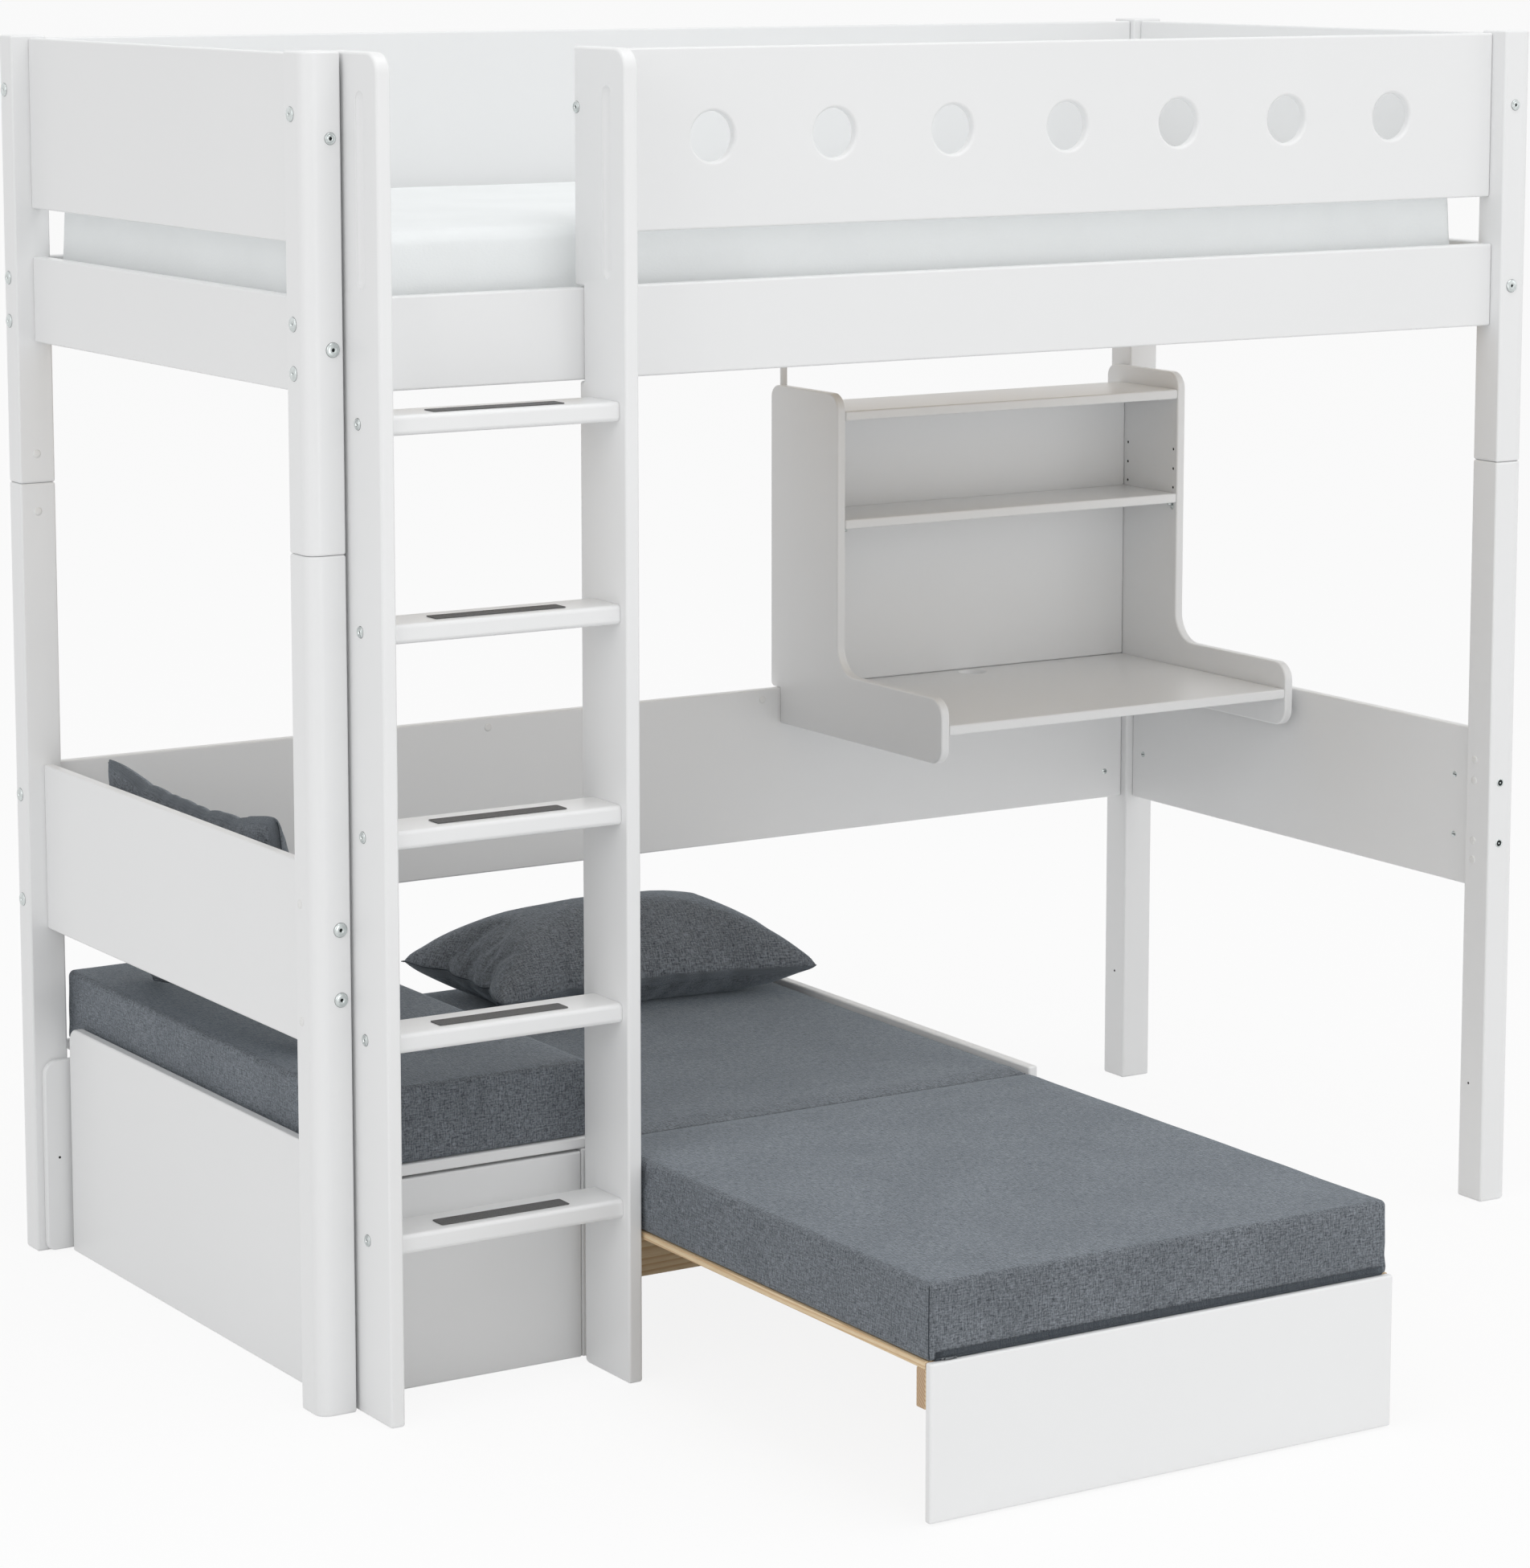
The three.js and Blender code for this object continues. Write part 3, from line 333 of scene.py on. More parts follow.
# Grain of the pine: noise stretched along the slats, and rings round a pith beside them
ALONG_X = (0.06, 1, 1)
ALONG_Y = (1, 0.06, 1)
PITH = (0.31, 0.43, 0.12)
RING_SPACING = 3.4 * MM
RING_WANDER = 35 * MM

# Weave: noise stretched along the threads
ALONG_WARP = (0.14, 1, 1)
ALONG_WEFT = (1, 0.14, 1)

# Sockets of a Mix node that is set to colours
MIX_SHARE, MIX_FIRST, MIX_SECOND, MIX_COLOUR = 0, 6, 7, 2


class Value:
    """A socket that carries a number, with the arithmetic that the finishes use."""

    def __init__(self, finish, socket):
        self.finish = finish
        self.socket = socket

    def maths(self, operation, *others):
        inputs = dict(enumerate((self, *others)))
        made = self.finish.node("ShaderNodeMath", {"operation": operation}, inputs)
        return Value(self.finish, made.outputs[0])

    def __add__(self, other):
        return self.maths("ADD", other)

    __radd__ = __add__

    def __mul__(self, other):
        return self.maths("MULTIPLY", other)

    __rmul__ = __mul__

    def __sub__(self, other):
        return self.maths("SUBTRACT", other)

    def __rsub__(self, other):
        return (self * -1) + other

    def __truediv__(self, other):
        return self.maths("DIVIDE", other)

    def __abs__(self):
        return self.maths("ABSOLUTE")

    def between(self, low, high):
        """0 below low, 1 above high, and a smooth climb between them."""
        inputs = {"Value": self, "From Min": low, "From Max": high}
        made = self.finish.node("ShaderNodeMapRange", {"interpolation_type": "SMOOTHSTEP"}, inputs)
        return Value(self.finish, made.outputs[0])


class Nodes:
    """A node tree, and the one way in which nodes are added to it."""

    def __init__(self, owner):
        owner.use_nodes = True
        self.tree = owner.node_tree
        self.tree.nodes.clear()

    def node(self, kind, settings=None, inputs=None):
        """Any node: its settings first, then the values or links of its sockets."""
        made = self.tree.nodes.new(kind)
        for key, value in (settings or {}).items():
            setattr(made, key, value)
        for key, value in (inputs or {}).items():
            self.feed(made.inputs[key], value)
        return made

    def feed(self, socket, value):
        """Links a socket to a value or another socket, or sets it to a constant."""
        if isinstance(value, Value):
            value = value.socket
        if isinstance(value, bpy.types.NodeSocket):
            self.tree.links.new(value, socket)
        else:
            socket.default_value = value

    def sees_background(self):
        """1 for a ray that looks at the background: straight from the camera, or by a reflection
        or through glass. It is the largest of the three rays' own signals."""
        path = self.node("ShaderNodeLightPath")
        seen = path.outputs["Is Camera Ray"]
        for name in ("Is Glossy Ray", "Is Transmission Ray"):
            inputs = {0: seen, 1: path.outputs[name]}
            seen = self.node("ShaderNodeMath", {"operation": "MAXIMUM"}, inputs).outputs[0]
        return seen


class Finish(Nodes):
    """A node material with one surface shader, built up from its object coordinates."""

    def __init__(self, name, **constants):
        self.material = bpy.data.materials.new(name)
        super().__init__(self.material)
        sockets = {self.socket_name(key): value for key, value in constants.items()}
        self.shader = self.node("ShaderNodeBsdfPrincipled", {}, sockets)
        self.node("ShaderNodeOutputMaterial", {}, {"Surface": self.shader.outputs[0]})
        self.coordinates = self.node("ShaderNodeTexCoord")
        self.place = self.coordinates.outputs["Object"]

    @staticmethod
    def socket_name(key):
        return key.replace("_", " ").title().replace("Ior", "IOR")

    def noise(self, scale, stretch=(1, 1, 1), detail=2.0, roughness=0.5):
        """Noise at a scale per metre, stretched by a share along each axis."""
        place = self.node("ShaderNodeMapping", {}, {"Vector": self.place, "Scale": stretch})
        inputs = {
            "Vector": place.outputs[0],
            "Scale": scale,
            "Detail": detail,
            "Roughness": roughness,
        }
        return Value(self, self.node("ShaderNodeTexNoise", {}, inputs).outputs[0])

    def mix(self, share, first, second):
        """From the first colour to the second by a share."""
        inputs = {MIX_SHARE: share}
        for socket, colour in ((MIX_FIRST, first), (MIX_SECOND, second)):
            inputs[socket] = (*colour, 1) if isinstance(colour, tuple) else colour
        return self.node("ShaderNodeMix", {"data_type": "RGBA"}, inputs).outputs[MIX_COLOUR]

    def surface(self, **inputs):
        """Feeds the shader's sockets and hands over the material."""
        for key, value in inputs.items():
            self.feed(self.shader.inputs[self.socket_name(key)], value)
        return self.material

    def bump(self, height, distance, strength):
        """Raises the surface by a height from 0 to 1 times a distance."""
        inputs = {"Height": height, "Distance": distance, "Strength": strength}
        made = self.node("ShaderNodeBump", {}, inputs)
        self.feed(self.shader.inputs["Normal"], made.outputs[0])


def shaded(colour, share):
    """A colour darkened to a share of itself."""
    return tuple(share * part for part in colour)


def lacquer():
    """Satin white lacquer: a faint orange peel, and a gloss and a tone that vary a little."""
    finish = Finish("white_lacquer", ior=1.45)
    peel = finish.noise(scale=420, detail=1.0)
    cloud = finish.noise(scale=2.2, detail=3.0)
    finish.bump(peel, distance=0.06 * MM, strength=0.35)
    tone = finish.mix(cloud.between(0.3, 0.7), *LACQUER)
    return finish.surface(base_color=tone, roughness=0.285 + 0.06 * cloud)


def pine(name, stretch, pale, dark):
    """Planed pine: year rings round a pith that lies beside the slats, so that they run as lines
    along the grain and as arcs across its ends, wavering with slow noise, and fine fibres. A ring's
    tone climbs with the fraction of the distance from the pith over the rings' spacing. Where the
    surface faces along the grain it is cut end grain, which is darker, partly from the end grain's
    own tone and partly as painted shade."""
    finish = Finish(name)
    wander = finish.noise(scale=9, stretch=stretch, detail=2.0)
    fibres = finish.noise(scale=700, stretch=stretch, detail=2.0)
    across = tuple(1 if part == 1 else 0 for part in stretch)
    inputs = {"Vector": finish.place, "Scale": across, "Location": PITH}
    away = finish.node("ShaderNodeMapping", {}, inputs)
    length = finish.node("ShaderNodeVectorMath", {"operation": "LENGTH"}, {0: away.outputs[0]})
    rings = (Value(finish, length.outputs["Value"]) + RING_WANDER * wander) / RING_SPACING
    late = rings.maths("FRACT")
    band = late.between(0.35, 0.95) * (1 - late.between(0.95, 1.0))
    base = finish.mix(band * 0.75, pale, dark)
    planed_tone = finish.mix(fibres.between(0.35, 0.75) * 0.3, base, dark)
    facing = finish.node("ShaderNodeSeparateXYZ", {}, {0: finish.coordinates.outputs["Normal"]})
    along = stretch.index(min(stretch))
    # faces along the grain are darker: partly end grain, partly painted shade
    end_grain_and_shade = abs(Value(finish, facing.outputs[along])).between(0.6, 0.9)
    tone = finish.mix(end_grain_and_shade * (0.5 + 0.35 * band), planed_tone, PINE_END_GRAIN_AND_SHADE)
    finish.bump(band + 0.5 * fibres, distance=0.2 * MM, strength=0.35)
    return finish.surface(base_color=tone, roughness=0.5 + 0.15 * fibres)


def woven(name, dark, light, contrast, thread):
    """Melange canvas on the cover's own map, in metres: noise stretched along the warp plus noise
    stretched along the weft, with slubs and faint clouds over both."""
    fuzz = {"sheen_weight": 0.42, "sheen_roughness": 0.4, "sheen_tint": FUZZ_TINT}
    finish = Finish(name, specular_ior_level=0.2, **fuzz)
    finish.place = finish.coordinates.outputs["UV"]
    across = 1 / thread
    warp = finish.noise(scale=across, stretch=ALONG_WARP, detail=1.5, roughness=0.7)
    weft = finish.noise(scale=across, stretch=ALONG_WEFT, detail=1.5, roughness=0.7)
    speckle = finish.noise(scale=across * 0.7, detail=2.0, roughness=0.8)
    cloud = finish.noise(scale=9, detail=3.0)
    threads = 0.5 * warp + 0.5 * weft
    mixed = (threads * 0.6 + speckle * 0.4).between(0.5 - contrast, 0.5 + contrast)
    tone = finish.mix(mixed, dark, light)
    shade = finish.mix(cloud.between(0.35, 0.65) * 0.15, tone, dark)
    finish.bump(threads + 0.8 * speckle, distance=1.4 * MM, strength=0.9)
    return finish.surface(base_color=shade, roughness=0.86 + 0.1 * threads)


def knit(name, tint):
    """White knitted mattress cover: soft fine ribs and a slightly cloudy tone."""
    finish = Finish(name, sheen_weight=0.15, specular_ior_level=0.2)
    finish.place = finish.coordinates.outputs["UV"]
    ribs = finish.noise(scale=520, stretch=(1, 0.5, 1), detail=1.0)
    cloud = finish.noise(scale=6, detail=3.0)
    tone = finish.mix(cloud.between(0.3, 0.7), tint, shaded(tint, 0.97))
    finish.bump(ribs + 0.5 * cloud, distance=0.6 * MM, strength=0.5)
    return finish.surface(base_color=tone, roughness=0.88 + 0.08 * ribs)


def grit(name, dark, light):
    """Grip strip: dark grey with fine grit."""
    finish = Finish(name, specular_ior_level=0.4)
    grains = finish.noise(scale=1400, detail=2.0, roughness=0.8)
    finish.bump(grains, distance=0.25 * MM, strength=0.8)
    tone = finish.mix(grains.between(0.4, 0.62), dark, light)
    return finish.surface(base_color=tone, roughness=0.62 + 0.25 * grains)


def metal(name, colour, rough):
    """Plated steel: fine turned scratches and a few duller patches. In a dark colour it also makes
    the painted shade round each bolt's head and at the floors of the sockets.
    """
    finish = Finish(name, metallic=1.0)
    patches = finish.noise(scale=160, detail=3.0)
    scratches = finish.noise(scale=2200, detail=1.0)
    finish.bump(scratches, distance=0.03 * MM, strength=0.3)
    tone = finish.mix(patches.between(0.3, 0.7), colour, shaded(colour, 0.85))
    return finish.surface(base_color=tone, roughness=rough + 0.12 * patches)


def plastic(name, colour, rough):
    """Moulded plastic: one colour, slightly mottled, with a fine texture. In near black it also
    makes the painted shade in the holes and across the nuts' slots.
    """
    finish = Finish(name)
    mottle = finish.noise(scale=900, detail=2.0)
    finish.bump(mottle, distance=0.04 * MM, strength=0.4)
    tone = finish.mix(mottle.between(0.3, 0.7), colour, shaded(colour, 0.93))
    return finish.surface(base_color=tone, roughness=rough + 0.1 * mottle)


FINISHES = {
    "lacquer": lacquer(),
    "pine_x": pine("pine_along_x", ALONG_X, PINE_PALE, PINE_DARK),
    "pine_y": pine("pine_along_y", ALONG_Y, PINE_PALE, PINE_DARK),
    "grey": woven("grey_weave", (0.032, 0.037, 0.044), (0.285, 0.31, 0.34), 0.19, 2.0 * MM),
    "seam": woven("seam_cloth", (0.018, 0.022, 0.027), (0.05, 0.058, 0.068), 0.16, 1.5 * MM),
    "white": knit("white_knit", (0.91, 0.935, 0.94)),
    "grip": grit("grip_grit", (0.085, 0.085, 0.085), (0.165, 0.165, 0.165)),
    "steel": metal("bright_zinc", (0.66, 0.70, 0.695), 0.22),
    # painted shade: the dark ring round each bolt's head
    "seat": metal("bolt_shade", (0.22, 0.23, 0.23), 0.4),
    # painted shade: the dark floors of the bolts' sockets and of the post sockets
    "socket": metal("painted_socket_shade", (0.03, 0.035, 0.035), 0.4),
    "zip": metal("dark_nickel", (0.16, 0.17, 0.18), 0.3),
    "cap": plastic("white_cap", (0.86, 0.86, 0.85), 0.35),
    # painted shade: the near black in the screw holes and pin holes and across the nuts' slots
    "hole": plastic("painted_hole_shade", (0.02, 0.02, 0.02), 0.9),
    "tape": woven("zip_tape", (0.03, 0.036, 0.043), (0.06, 0.068, 0.08), 0.2, 1.0 * MM),
}


def make_object(name, vertices, faces, normals=None):
    """A smooth shaded object from arrays, at the origin."""
    mesh = bpy.data.meshes.new(name)
    mesh.from_pydata(np.asarray(vertices).tolist(), [], faces)
    mesh.shade_smooth()
    if normals is not None:
        mesh.normals_split_custom_set_from_vertices(np.asarray(normals).tolist())
    made = bpy.data.objects.new(name, mesh)
    bpy.context.scene.collection.objects.link(made)
    return made


def taken_apart(piece):
    """The points and faces of a piece, which is removed."""
    mesh = piece.data
    places = np.empty(3 * len(mesh.vertices))
    mesh.vertices.foreach_get("co", places)
    faces = [list(face.vertices) for face in mesh.polygons]
    bpy.data.objects.remove(piece)
    bpy.data.meshes.remove(mesh)
    return places.reshape(-1, 3), faces


def joined(parts):
    """Several (vertices, faces) as one."""
    vertices, faces, count = [], [], 0
    for points, rings in parts:
        vertices.append(np.asarray(points))
        faces += [[count + i for i in ring] for ring in rings]
        count += len(points)
    return np.concatenate(vertices), faces


def dress(piece, finish, slot, body, *nodes):
    """Gives a piece its finish, its body and the CAD nodes that it stands for. The slot is not
    used.
    """
    if not piece.data.materials:
        piece.data.materials.append(FINISHES[finish])
    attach(piece, body)
    if nodes:
        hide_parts(*nodes)
    return piece


def body_of(node):
    return frame["nodes"][node]["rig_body"]


def rounded_outline(corners, steps=CORNER_STEPS):
    """Points and outward normals round a counterclockwise outline. At each corner (x, y, radius)
    the normal turns from one side's to the next one's in equal steps, and the points lie a radius
    away from the arc's centre along it, on the outer side of a hollow corner."""
    corners = np.array(corners, float)
    places, radii = corners[:, :2], corners[:, 2]
    arriving = places - np.roll(places, 1, axis=0)
    arriving /= np.linalg.norm(arriving, axis=1)[:, None]
    leaving = np.roll(arriving, -1, axis=0)
    cross = arriving[:, 0] * leaving[:, 1] - arriving[:, 1] * leaving[:, 0]
    turn = np.arctan2(cross, (arriving * leaving).sum(1))
    start = places - arriving * (radii * np.tan(abs(turn) / 2))[:, None]
    first = np.stack([arriving[:, 1], -arriving[:, 0]], 1)
    side = np.sign(turn)[:, None]
    centre = start - side * radii[:, None] * first
    angle = turn[:, None] * np.linspace(0, 1, steps + 1)
    cosine, sine = np.cos(angle), np.sin(angle)
    across, along = first[:, :1], first[:, 1:]
    normals = np.stack([across * cosine - along * sine, across * sine + along * cosine], 2)
    points = centre[:, None] + (side * radii[:, None])[:, None] * normals
    return points.reshape(-1, 2), normals.reshape(-1, 2)


def rectangle(low, high, radius):
    """The corners of a rectangle, counterclockwise, all rounded alike."""
    (u0, v0), (u1, v1) = low, high
    return [(u0, v0, radius), (u1, v0, radius), (u1, v1, radius), (u0, v1, radius)]


def circle(centre, radius, steps=ROUND_STEPS):
    """Points and outward normals round a circle: the centre plus the radius times the cosine and
    sine of equal steps of angle."""
    angle = np.linspace(0, TURN, steps, endpoint=False)
    normals = np.stack([np.cos(angle), np.sin(angle)], 1)
    return np.array(centre) + radius * normals, normals


def hollow(outline):
    """The same outline as the wall of a hole: run backwards, with normals that point into it."""
    points, normals = outline
    return points[::-1], -normals[::-1]


def bands(index):
    """Four sided faces between rows of points, each row closed on itself."""
    after = np.roll(index, -1, axis=1)
    return np.stack([index[:-1], after[:-1], after[1:], index[1:]], 2).reshape(-1, 4).tolist()


class Slab:
    """A board cut to an outline across one axis. Its wall is the outline carried from one face to
    the other; near a face it draws in by a quarter circle of the edge's radius, and at the face it
    meets a flat cap. A hole's wall is carried the same way, and a pocket ends on a floor."""

    PLANES = {"x": (1, 2, 0), "y": (0, 2, 1), "z": (0, 1, 2)}

    def __init__(self, axis, low, high):
        self.axis = axis
        self.low = low
        self.high = high
        self.vertices, self.normals, self.faces = [], [], []
        self.count = 0
        self.rims = {"low": [], "high": []}

    def quarter(self, edge, end):
        """Heights, draw-in and tilt of the normal over the quarter circle at one end: the edge
        times one minus the sine is the way from the face, and times one minus the cosine the
        draw-in."""
        angle = np.linspace(0, TURN / 4, EDGE_STEPS + 1)
        inset = edge * (1 - np.cos(angle))
        rise = edge * (np.sin(angle) - 1)
        if end == "high":
            return self.high + rise, inset, np.cos(angle), np.sin(angle)
        return (self.low - rise)[::-1], inset[::-1], np.cos(angle)[::-1], -np.sin(angle)[::-1]

    def wall(self, outline, sections):
        """Rows of one outline at several sections, joined by bands of four sided faces. A section
        is its heights, how far the outline draws in against its normals there, and the slope of
        the wall's own normals as their flat part and their part along the axis."""
        points, normals = outline
        heights, insets, flat, tilt = [np.concatenate(part) for part in zip(*sections)]

        def raised(plane, level):
            level = np.broadcast_to(level[:, None, None], (*plane.shape[:2], 1))
            return np.concatenate([plane, level], 2)

        rows = raised(points[None] - insets[:, None, None] * normals[None], heights)
        slope = raised(flat[:, None, None] * normals[None], tilt)
        levels, around = rows.shape[:2]
        index = self.count + np.arange(levels * around).reshape(levels, around)
        self.vertices.append(rows.reshape(-1, 3))
        self.normals.append(slope.reshape(-1, 3))
        self.faces += bands(index)
        self.count += levels * around
        return index[0], index[-1]

    def through(self, outline, edge):
        """A wall from face to face, the board's own or a hole's, with both its rims rounded."""
        sections = [self.quarter(edge, "low"), self.quarter(edge, "high")]
        bottom, top = self.wall(outline, sections)
        self.rims["low"].append(bottom)
        self.rims["high"].append(top)

    def pocket(self, outline, depth, rim, fillet, end):
        """A blind hole from one face. Its wall turns into its floor by a parabola, as wide as the
        fillet says first and as deep as it says second: the depth left is the square of the share
        of the width left."""
        share = np.linspace(0, 1, 2 * EDGE_STEPS + 1)
        across, down = fillet
        drawn = -across * share
        lift = down * (1 - share) ** 2
        flat, tilt = 2 * down * (1 - share), np.full(len(share), across)
        length = np.hypot(flat, tilt)
        flat, tilt = flat / length, tilt / length
        if end == "high":
            floor = (self.high - depth + lift, drawn, flat, tilt)
            floor = [part[::-1] for part in floor]
            bottom, top = self.wall(outline, [floor, self.quarter(rim, "high")])
            self.rims["high"].append(top)
            self.cap([bottom], True)
        else:
            floor = (self.low + depth - lift, drawn, flat, -tilt)
            bottom, top = self.wall(outline, [self.quarter(rim, "low"), floor])
            self.rims["low"].append(bottom)
            self.cap([top], False)

    def cap(self, rims, upward):
        """A flat face between rims, cut into triangles that all face one way."""
        everything = np.concatenate(self.vertices)
        loops = [[Vector((*everything[i, :2], 0)) for i in rim] for rim in rims]
        numbers = np.concatenate(rims)
        cut = numbers[np.array(tessellate_polygon(loops))]
        corners = everything[cut][:, :, :2]
        one, two = corners[:, 1] - corners[:, 0], corners[:, 2] - corners[:, 0]
        area = one[:, 0] * two[:, 1] - one[:, 1] * two[:, 0]
        real = abs(area) > NO_AREA
        cut, turned = cut[real], (area[real] > 0) != upward
        cut[turned] = cut[turned][:, ::-1]
        self.faces += cut.tolist()

    def build(self, name):
        """The board as an object, once its two faces are closed."""
        self.cap(self.rims["low"], False)
        self.cap(self.rims["high"], True)
        order = np.argsort(self.PLANES[self.axis])
        vertices = np.concatenate(self.vertices)[:, order]
        normals = np.concatenate(self.normals)[:, order]
        faces = self.faces
        if self.axis == "y":
            faces = [face[::-1] for face in faces]
        return make_object(name, vertices, faces, normals)


def plane_of(corner, axis):
    """The two coordinates of a point that lie across an axis."""
    u, v, _ = Slab.PLANES[axis]
    return corner[u], corner[v]


def board_between(low, high, axis, corner, edge, rounded=None, steps=CORNER_STEPS):
    """A slab between two corners of its box, across one axis. The corners of its outline have one
    radius, or their own where rounded gives one for their number, and its rims have the edge's."""
    corners = rectangle(plane_of(low, axis), plane_of(high, axis), corner)
    for number, radius in (rounded or {}).items():
        corners[number] = (*corners[number][:2], radius)
    along = "xyz".index(axis)
    made = Slab(axis, low[along], high[along])
    made.through(rounded_outline(corners, steps), edge)
    return made


def plain_slab(name, low, high, edge):
    """A board between two corners, across its thinnest side, with all its edges rounded alike."""
    axis = "xyz"[int(np.argmin(np.array(high) - np.array(low)))]
    return board_between(low, high, axis, edge, edge, steps=EDGE_STEPS).build(name)


def board_of(node, axis, rounded=None):
    """A board over a node's box, with the edges that all boards have."""
    return board_between(*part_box(node), axis, BOARD_EDGE, BOARD_EDGE, rounded)


def lacquered(node, made):
    return dress(made.build(node + "_lacquered"), "lacquer", "white_lacquer", body_of(node), node)


def plain_boards():
    """The boards whose shape is a plain rectangle."""
    names = (
        "front_rail back_rail left_rail right_rail back_guard left_guard right_guard "
        "lower_left_guard lower_right_panel lower_back_panel desk_back top_shelf middle_shelf "
        "desk_hanger seat_front_panel seat_divider seat_deck sofa_right_side pullout_front"
    )
    for node in names.split():
        piece = plain_slab(node + "_lacquered", *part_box(node), BOARD_EDGE)
        dress(piece, "lacquer", "white_lacquer", body_of(node), node)


def posts():
    """A post's section carried up: three small corners and, on the bed's outside, a large one."""
    for place, outer in OUTER_CORNER.items():
        for length in ("lower", "upper"):
            node = f"{length}_post_{place}"
            rounded = {outer: POST_ROUNDING}
            lacquered(node, board_between(*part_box(node), "z", POST_EDGE, POST_EDGE, rounded))


def front_guard():
    """The front guard with its seven round holes, each with a rounded rim."""
    low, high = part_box("front_guard")
    made = board_of("front_guard", "y")
    for x in np.linspace(low.x + FIRST_HOLE_MARGIN, high.x - LAST_HOLE_MARGIN, GUARD_HOLES):
        rim = circle((x, low.z + GUARD_HOLE_RISE), GUARD_HOLE_RADIUS)
        made.through(hollow(rim), GUARD_HOLE_RIM)
    lacquered("front_guard", made)


def stiles():
    """The ladder's stiles: a foot with one rounded corner, a notch round the rail, a rounded head
    and a finger groove in each face."""
    rail_low, rail_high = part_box("front_rail")
    for node in ("ladder_stile_left", "ladder_stile_right"):
        low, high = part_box(node)
        notch_face = rail_low.y - FIT
        leg_back = rail_low.y + STILE_LAP
        under, over = rail_low.z - NOTCH_CLEARANCE, rail_high.z + NOTCH_CLEARANCE
        outline = rounded_outline(
            [
                (low.y, low.z, STILE_EDGE),
                (leg_back, low.z, STILE_FOOT_ROUNDING),
                (leg_back, under, STILE_EDGE),
                (notch_face, under, NOTCH_EDGE),
                (notch_face, over, NOTCH_EDGE),
                (high.y, over, STILE_EDGE),
                (high.y, high.z, STILE_EDGE),
                (low.y, high.z, STILE_HEAD_ROUNDING),
            ]
        )
        made = Slab("x", low.x, high.x)
        made.through(outline, STILE_EDGE)
        front = low.y + GROOVE_SETBACK - GROOVE_WIDTH / 2
        foot = rail_high.z + GROOVE_RISE
        far_corner = (front + GROOVE_WIDTH, foot + GROOVE_LENGTH)
        corners = rectangle((front, foot), far_corner, GROOVE_END * GROOVE_WIDTH)
        groove = hollow(rounded_outline(corners, LARGE_CORNER_STEPS))
        for end in ("low", "high"):
            made.pocket(groove, GROOVE_DEPTH, GROOVE_RIM, GROOVE_FILLET, end)
        lacquered(node, made)


def rungs():
    """The rungs, rounded along their length, and the grip strip on each."""
    for number in range(1, RUNGS + 1):
        node = f"rung_{number}"
        lacquered(node, board_between(*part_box(node), "x", RUNG_ROUNDING, FIT))
        node = f"grip_strip_{number}"
        strip = board_between(*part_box(node), "z", GRIP_CORNER, GRIP_EDGE)
        dress(strip.build(node + "_grit"), "grip", "grip_rubber", body_of(node), node)


def desk_sides():
    """The desk's sides, one outline each, with rows of holes for the shelf's pins."""
    panel_low, panel_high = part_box("lower_back_panel")
    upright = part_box("top_shelf")[0].y
    for node in ("desk_side_left", "desk_side_right"):
        low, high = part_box(node)
        meets = panel_low.y - FIT
        arm = low.z + ARM_HEIGHT
        corners = [
            (low.y, low.z, ARM_FOOT_ROUNDING),
            (meets, low.z, BOARD_EDGE),
            (meets, panel_high.z + FIT, BOARD_EDGE),
            (high.y, panel_high.z + FIT, NOTCH_ROUNDING),
            (high.y, high.z, UPRIGHT_REAR_ROUNDING),
            (upright, high.z, UPRIGHT_FRONT_ROUNDING),
            (upright, arm, THROAT_ROUNDING),
            (low.y, arm, ARM_HEAD_ROUNDING),
        ]
        made = Slab("x", low.x, high.x)
        made.through(rounded_outline(corners, LARGE_CORNER_STEPS), BOARD_EDGE)
        inner = "high" if node.endswith("left") else "low"
        for y in PIN_ROWS:
            for z in PIN_HEIGHTS:
                hole = hollow(circle((CORNER[1] + y, z), PIN_HOLE_RADIUS, SMALL_ROUND_STEPS))
                made.pocket(hole, PIN_HOLE_DEPTH, FIT, (FIT, FIT), inner)
        lacquered(node, made)


def desk_top():
    """The desk top with its cable hole."""
    low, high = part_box("desk_top")
    made = board_of("desk_top", "z")
    centre = ((low.x + high.x) / 2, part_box("desk_back")[0].y - CABLE_HOLE_MARGIN)
    made.through(hollow(circle(centre, CABLE_HOLE_RADIUS)), BOARD_EDGE)
    lacquered("desk_top", made)


def sofa_boards():
    """The sofa's end panel with one rounded corner, and its back board with two."""
    lacquered("seat_end_panel", board_of("seat_end_panel", "x", {2: END_PANEL_ROUNDING}))
    rounded = {0: BACK_BOARD_FOOT_ROUNDING, 3: BACK_BOARD_TOP_ROUNDING}
    lacquered("sofa_back_board", board_of("sofa_back_board", "y", rounded))


def planed(name, slabs, body, *nodes):
    """Pine slats or rails as one piece. Each slab is (low corner, high corner, grain axis)."""
    parts = [taken_apart(plain_slab(name, low, high, SLAT_EDGE)) for low, high, _ in slabs]
    whole = make_object(name, *joined(parts))
    kinds = []
    for (_, faces), (_, _, grain) in zip(parts, slabs):
        kinds += ["xy".index(grain)] * len(faces)
    whole.data.materials.append(FINISHES["pine_x"])
    whole.data.materials.append(FINISHES["pine_y"])
    whole.data.polygons.foreach_set("material_index", kinds)
    whole.modifiers.new("flat_faces", "WEIGHTED_NORMAL")
    return dress(whole, "pine_x", "pine", body, *nodes)


def slats(low, high, starts, thickness):
    """Slats along Y under the top of a box, from the places along X where they start."""
    under = high.z - thickness
    return [((x, low.y, under), (x + SLAT_WIDTH, high.y, high.z), "y") for x in starts]


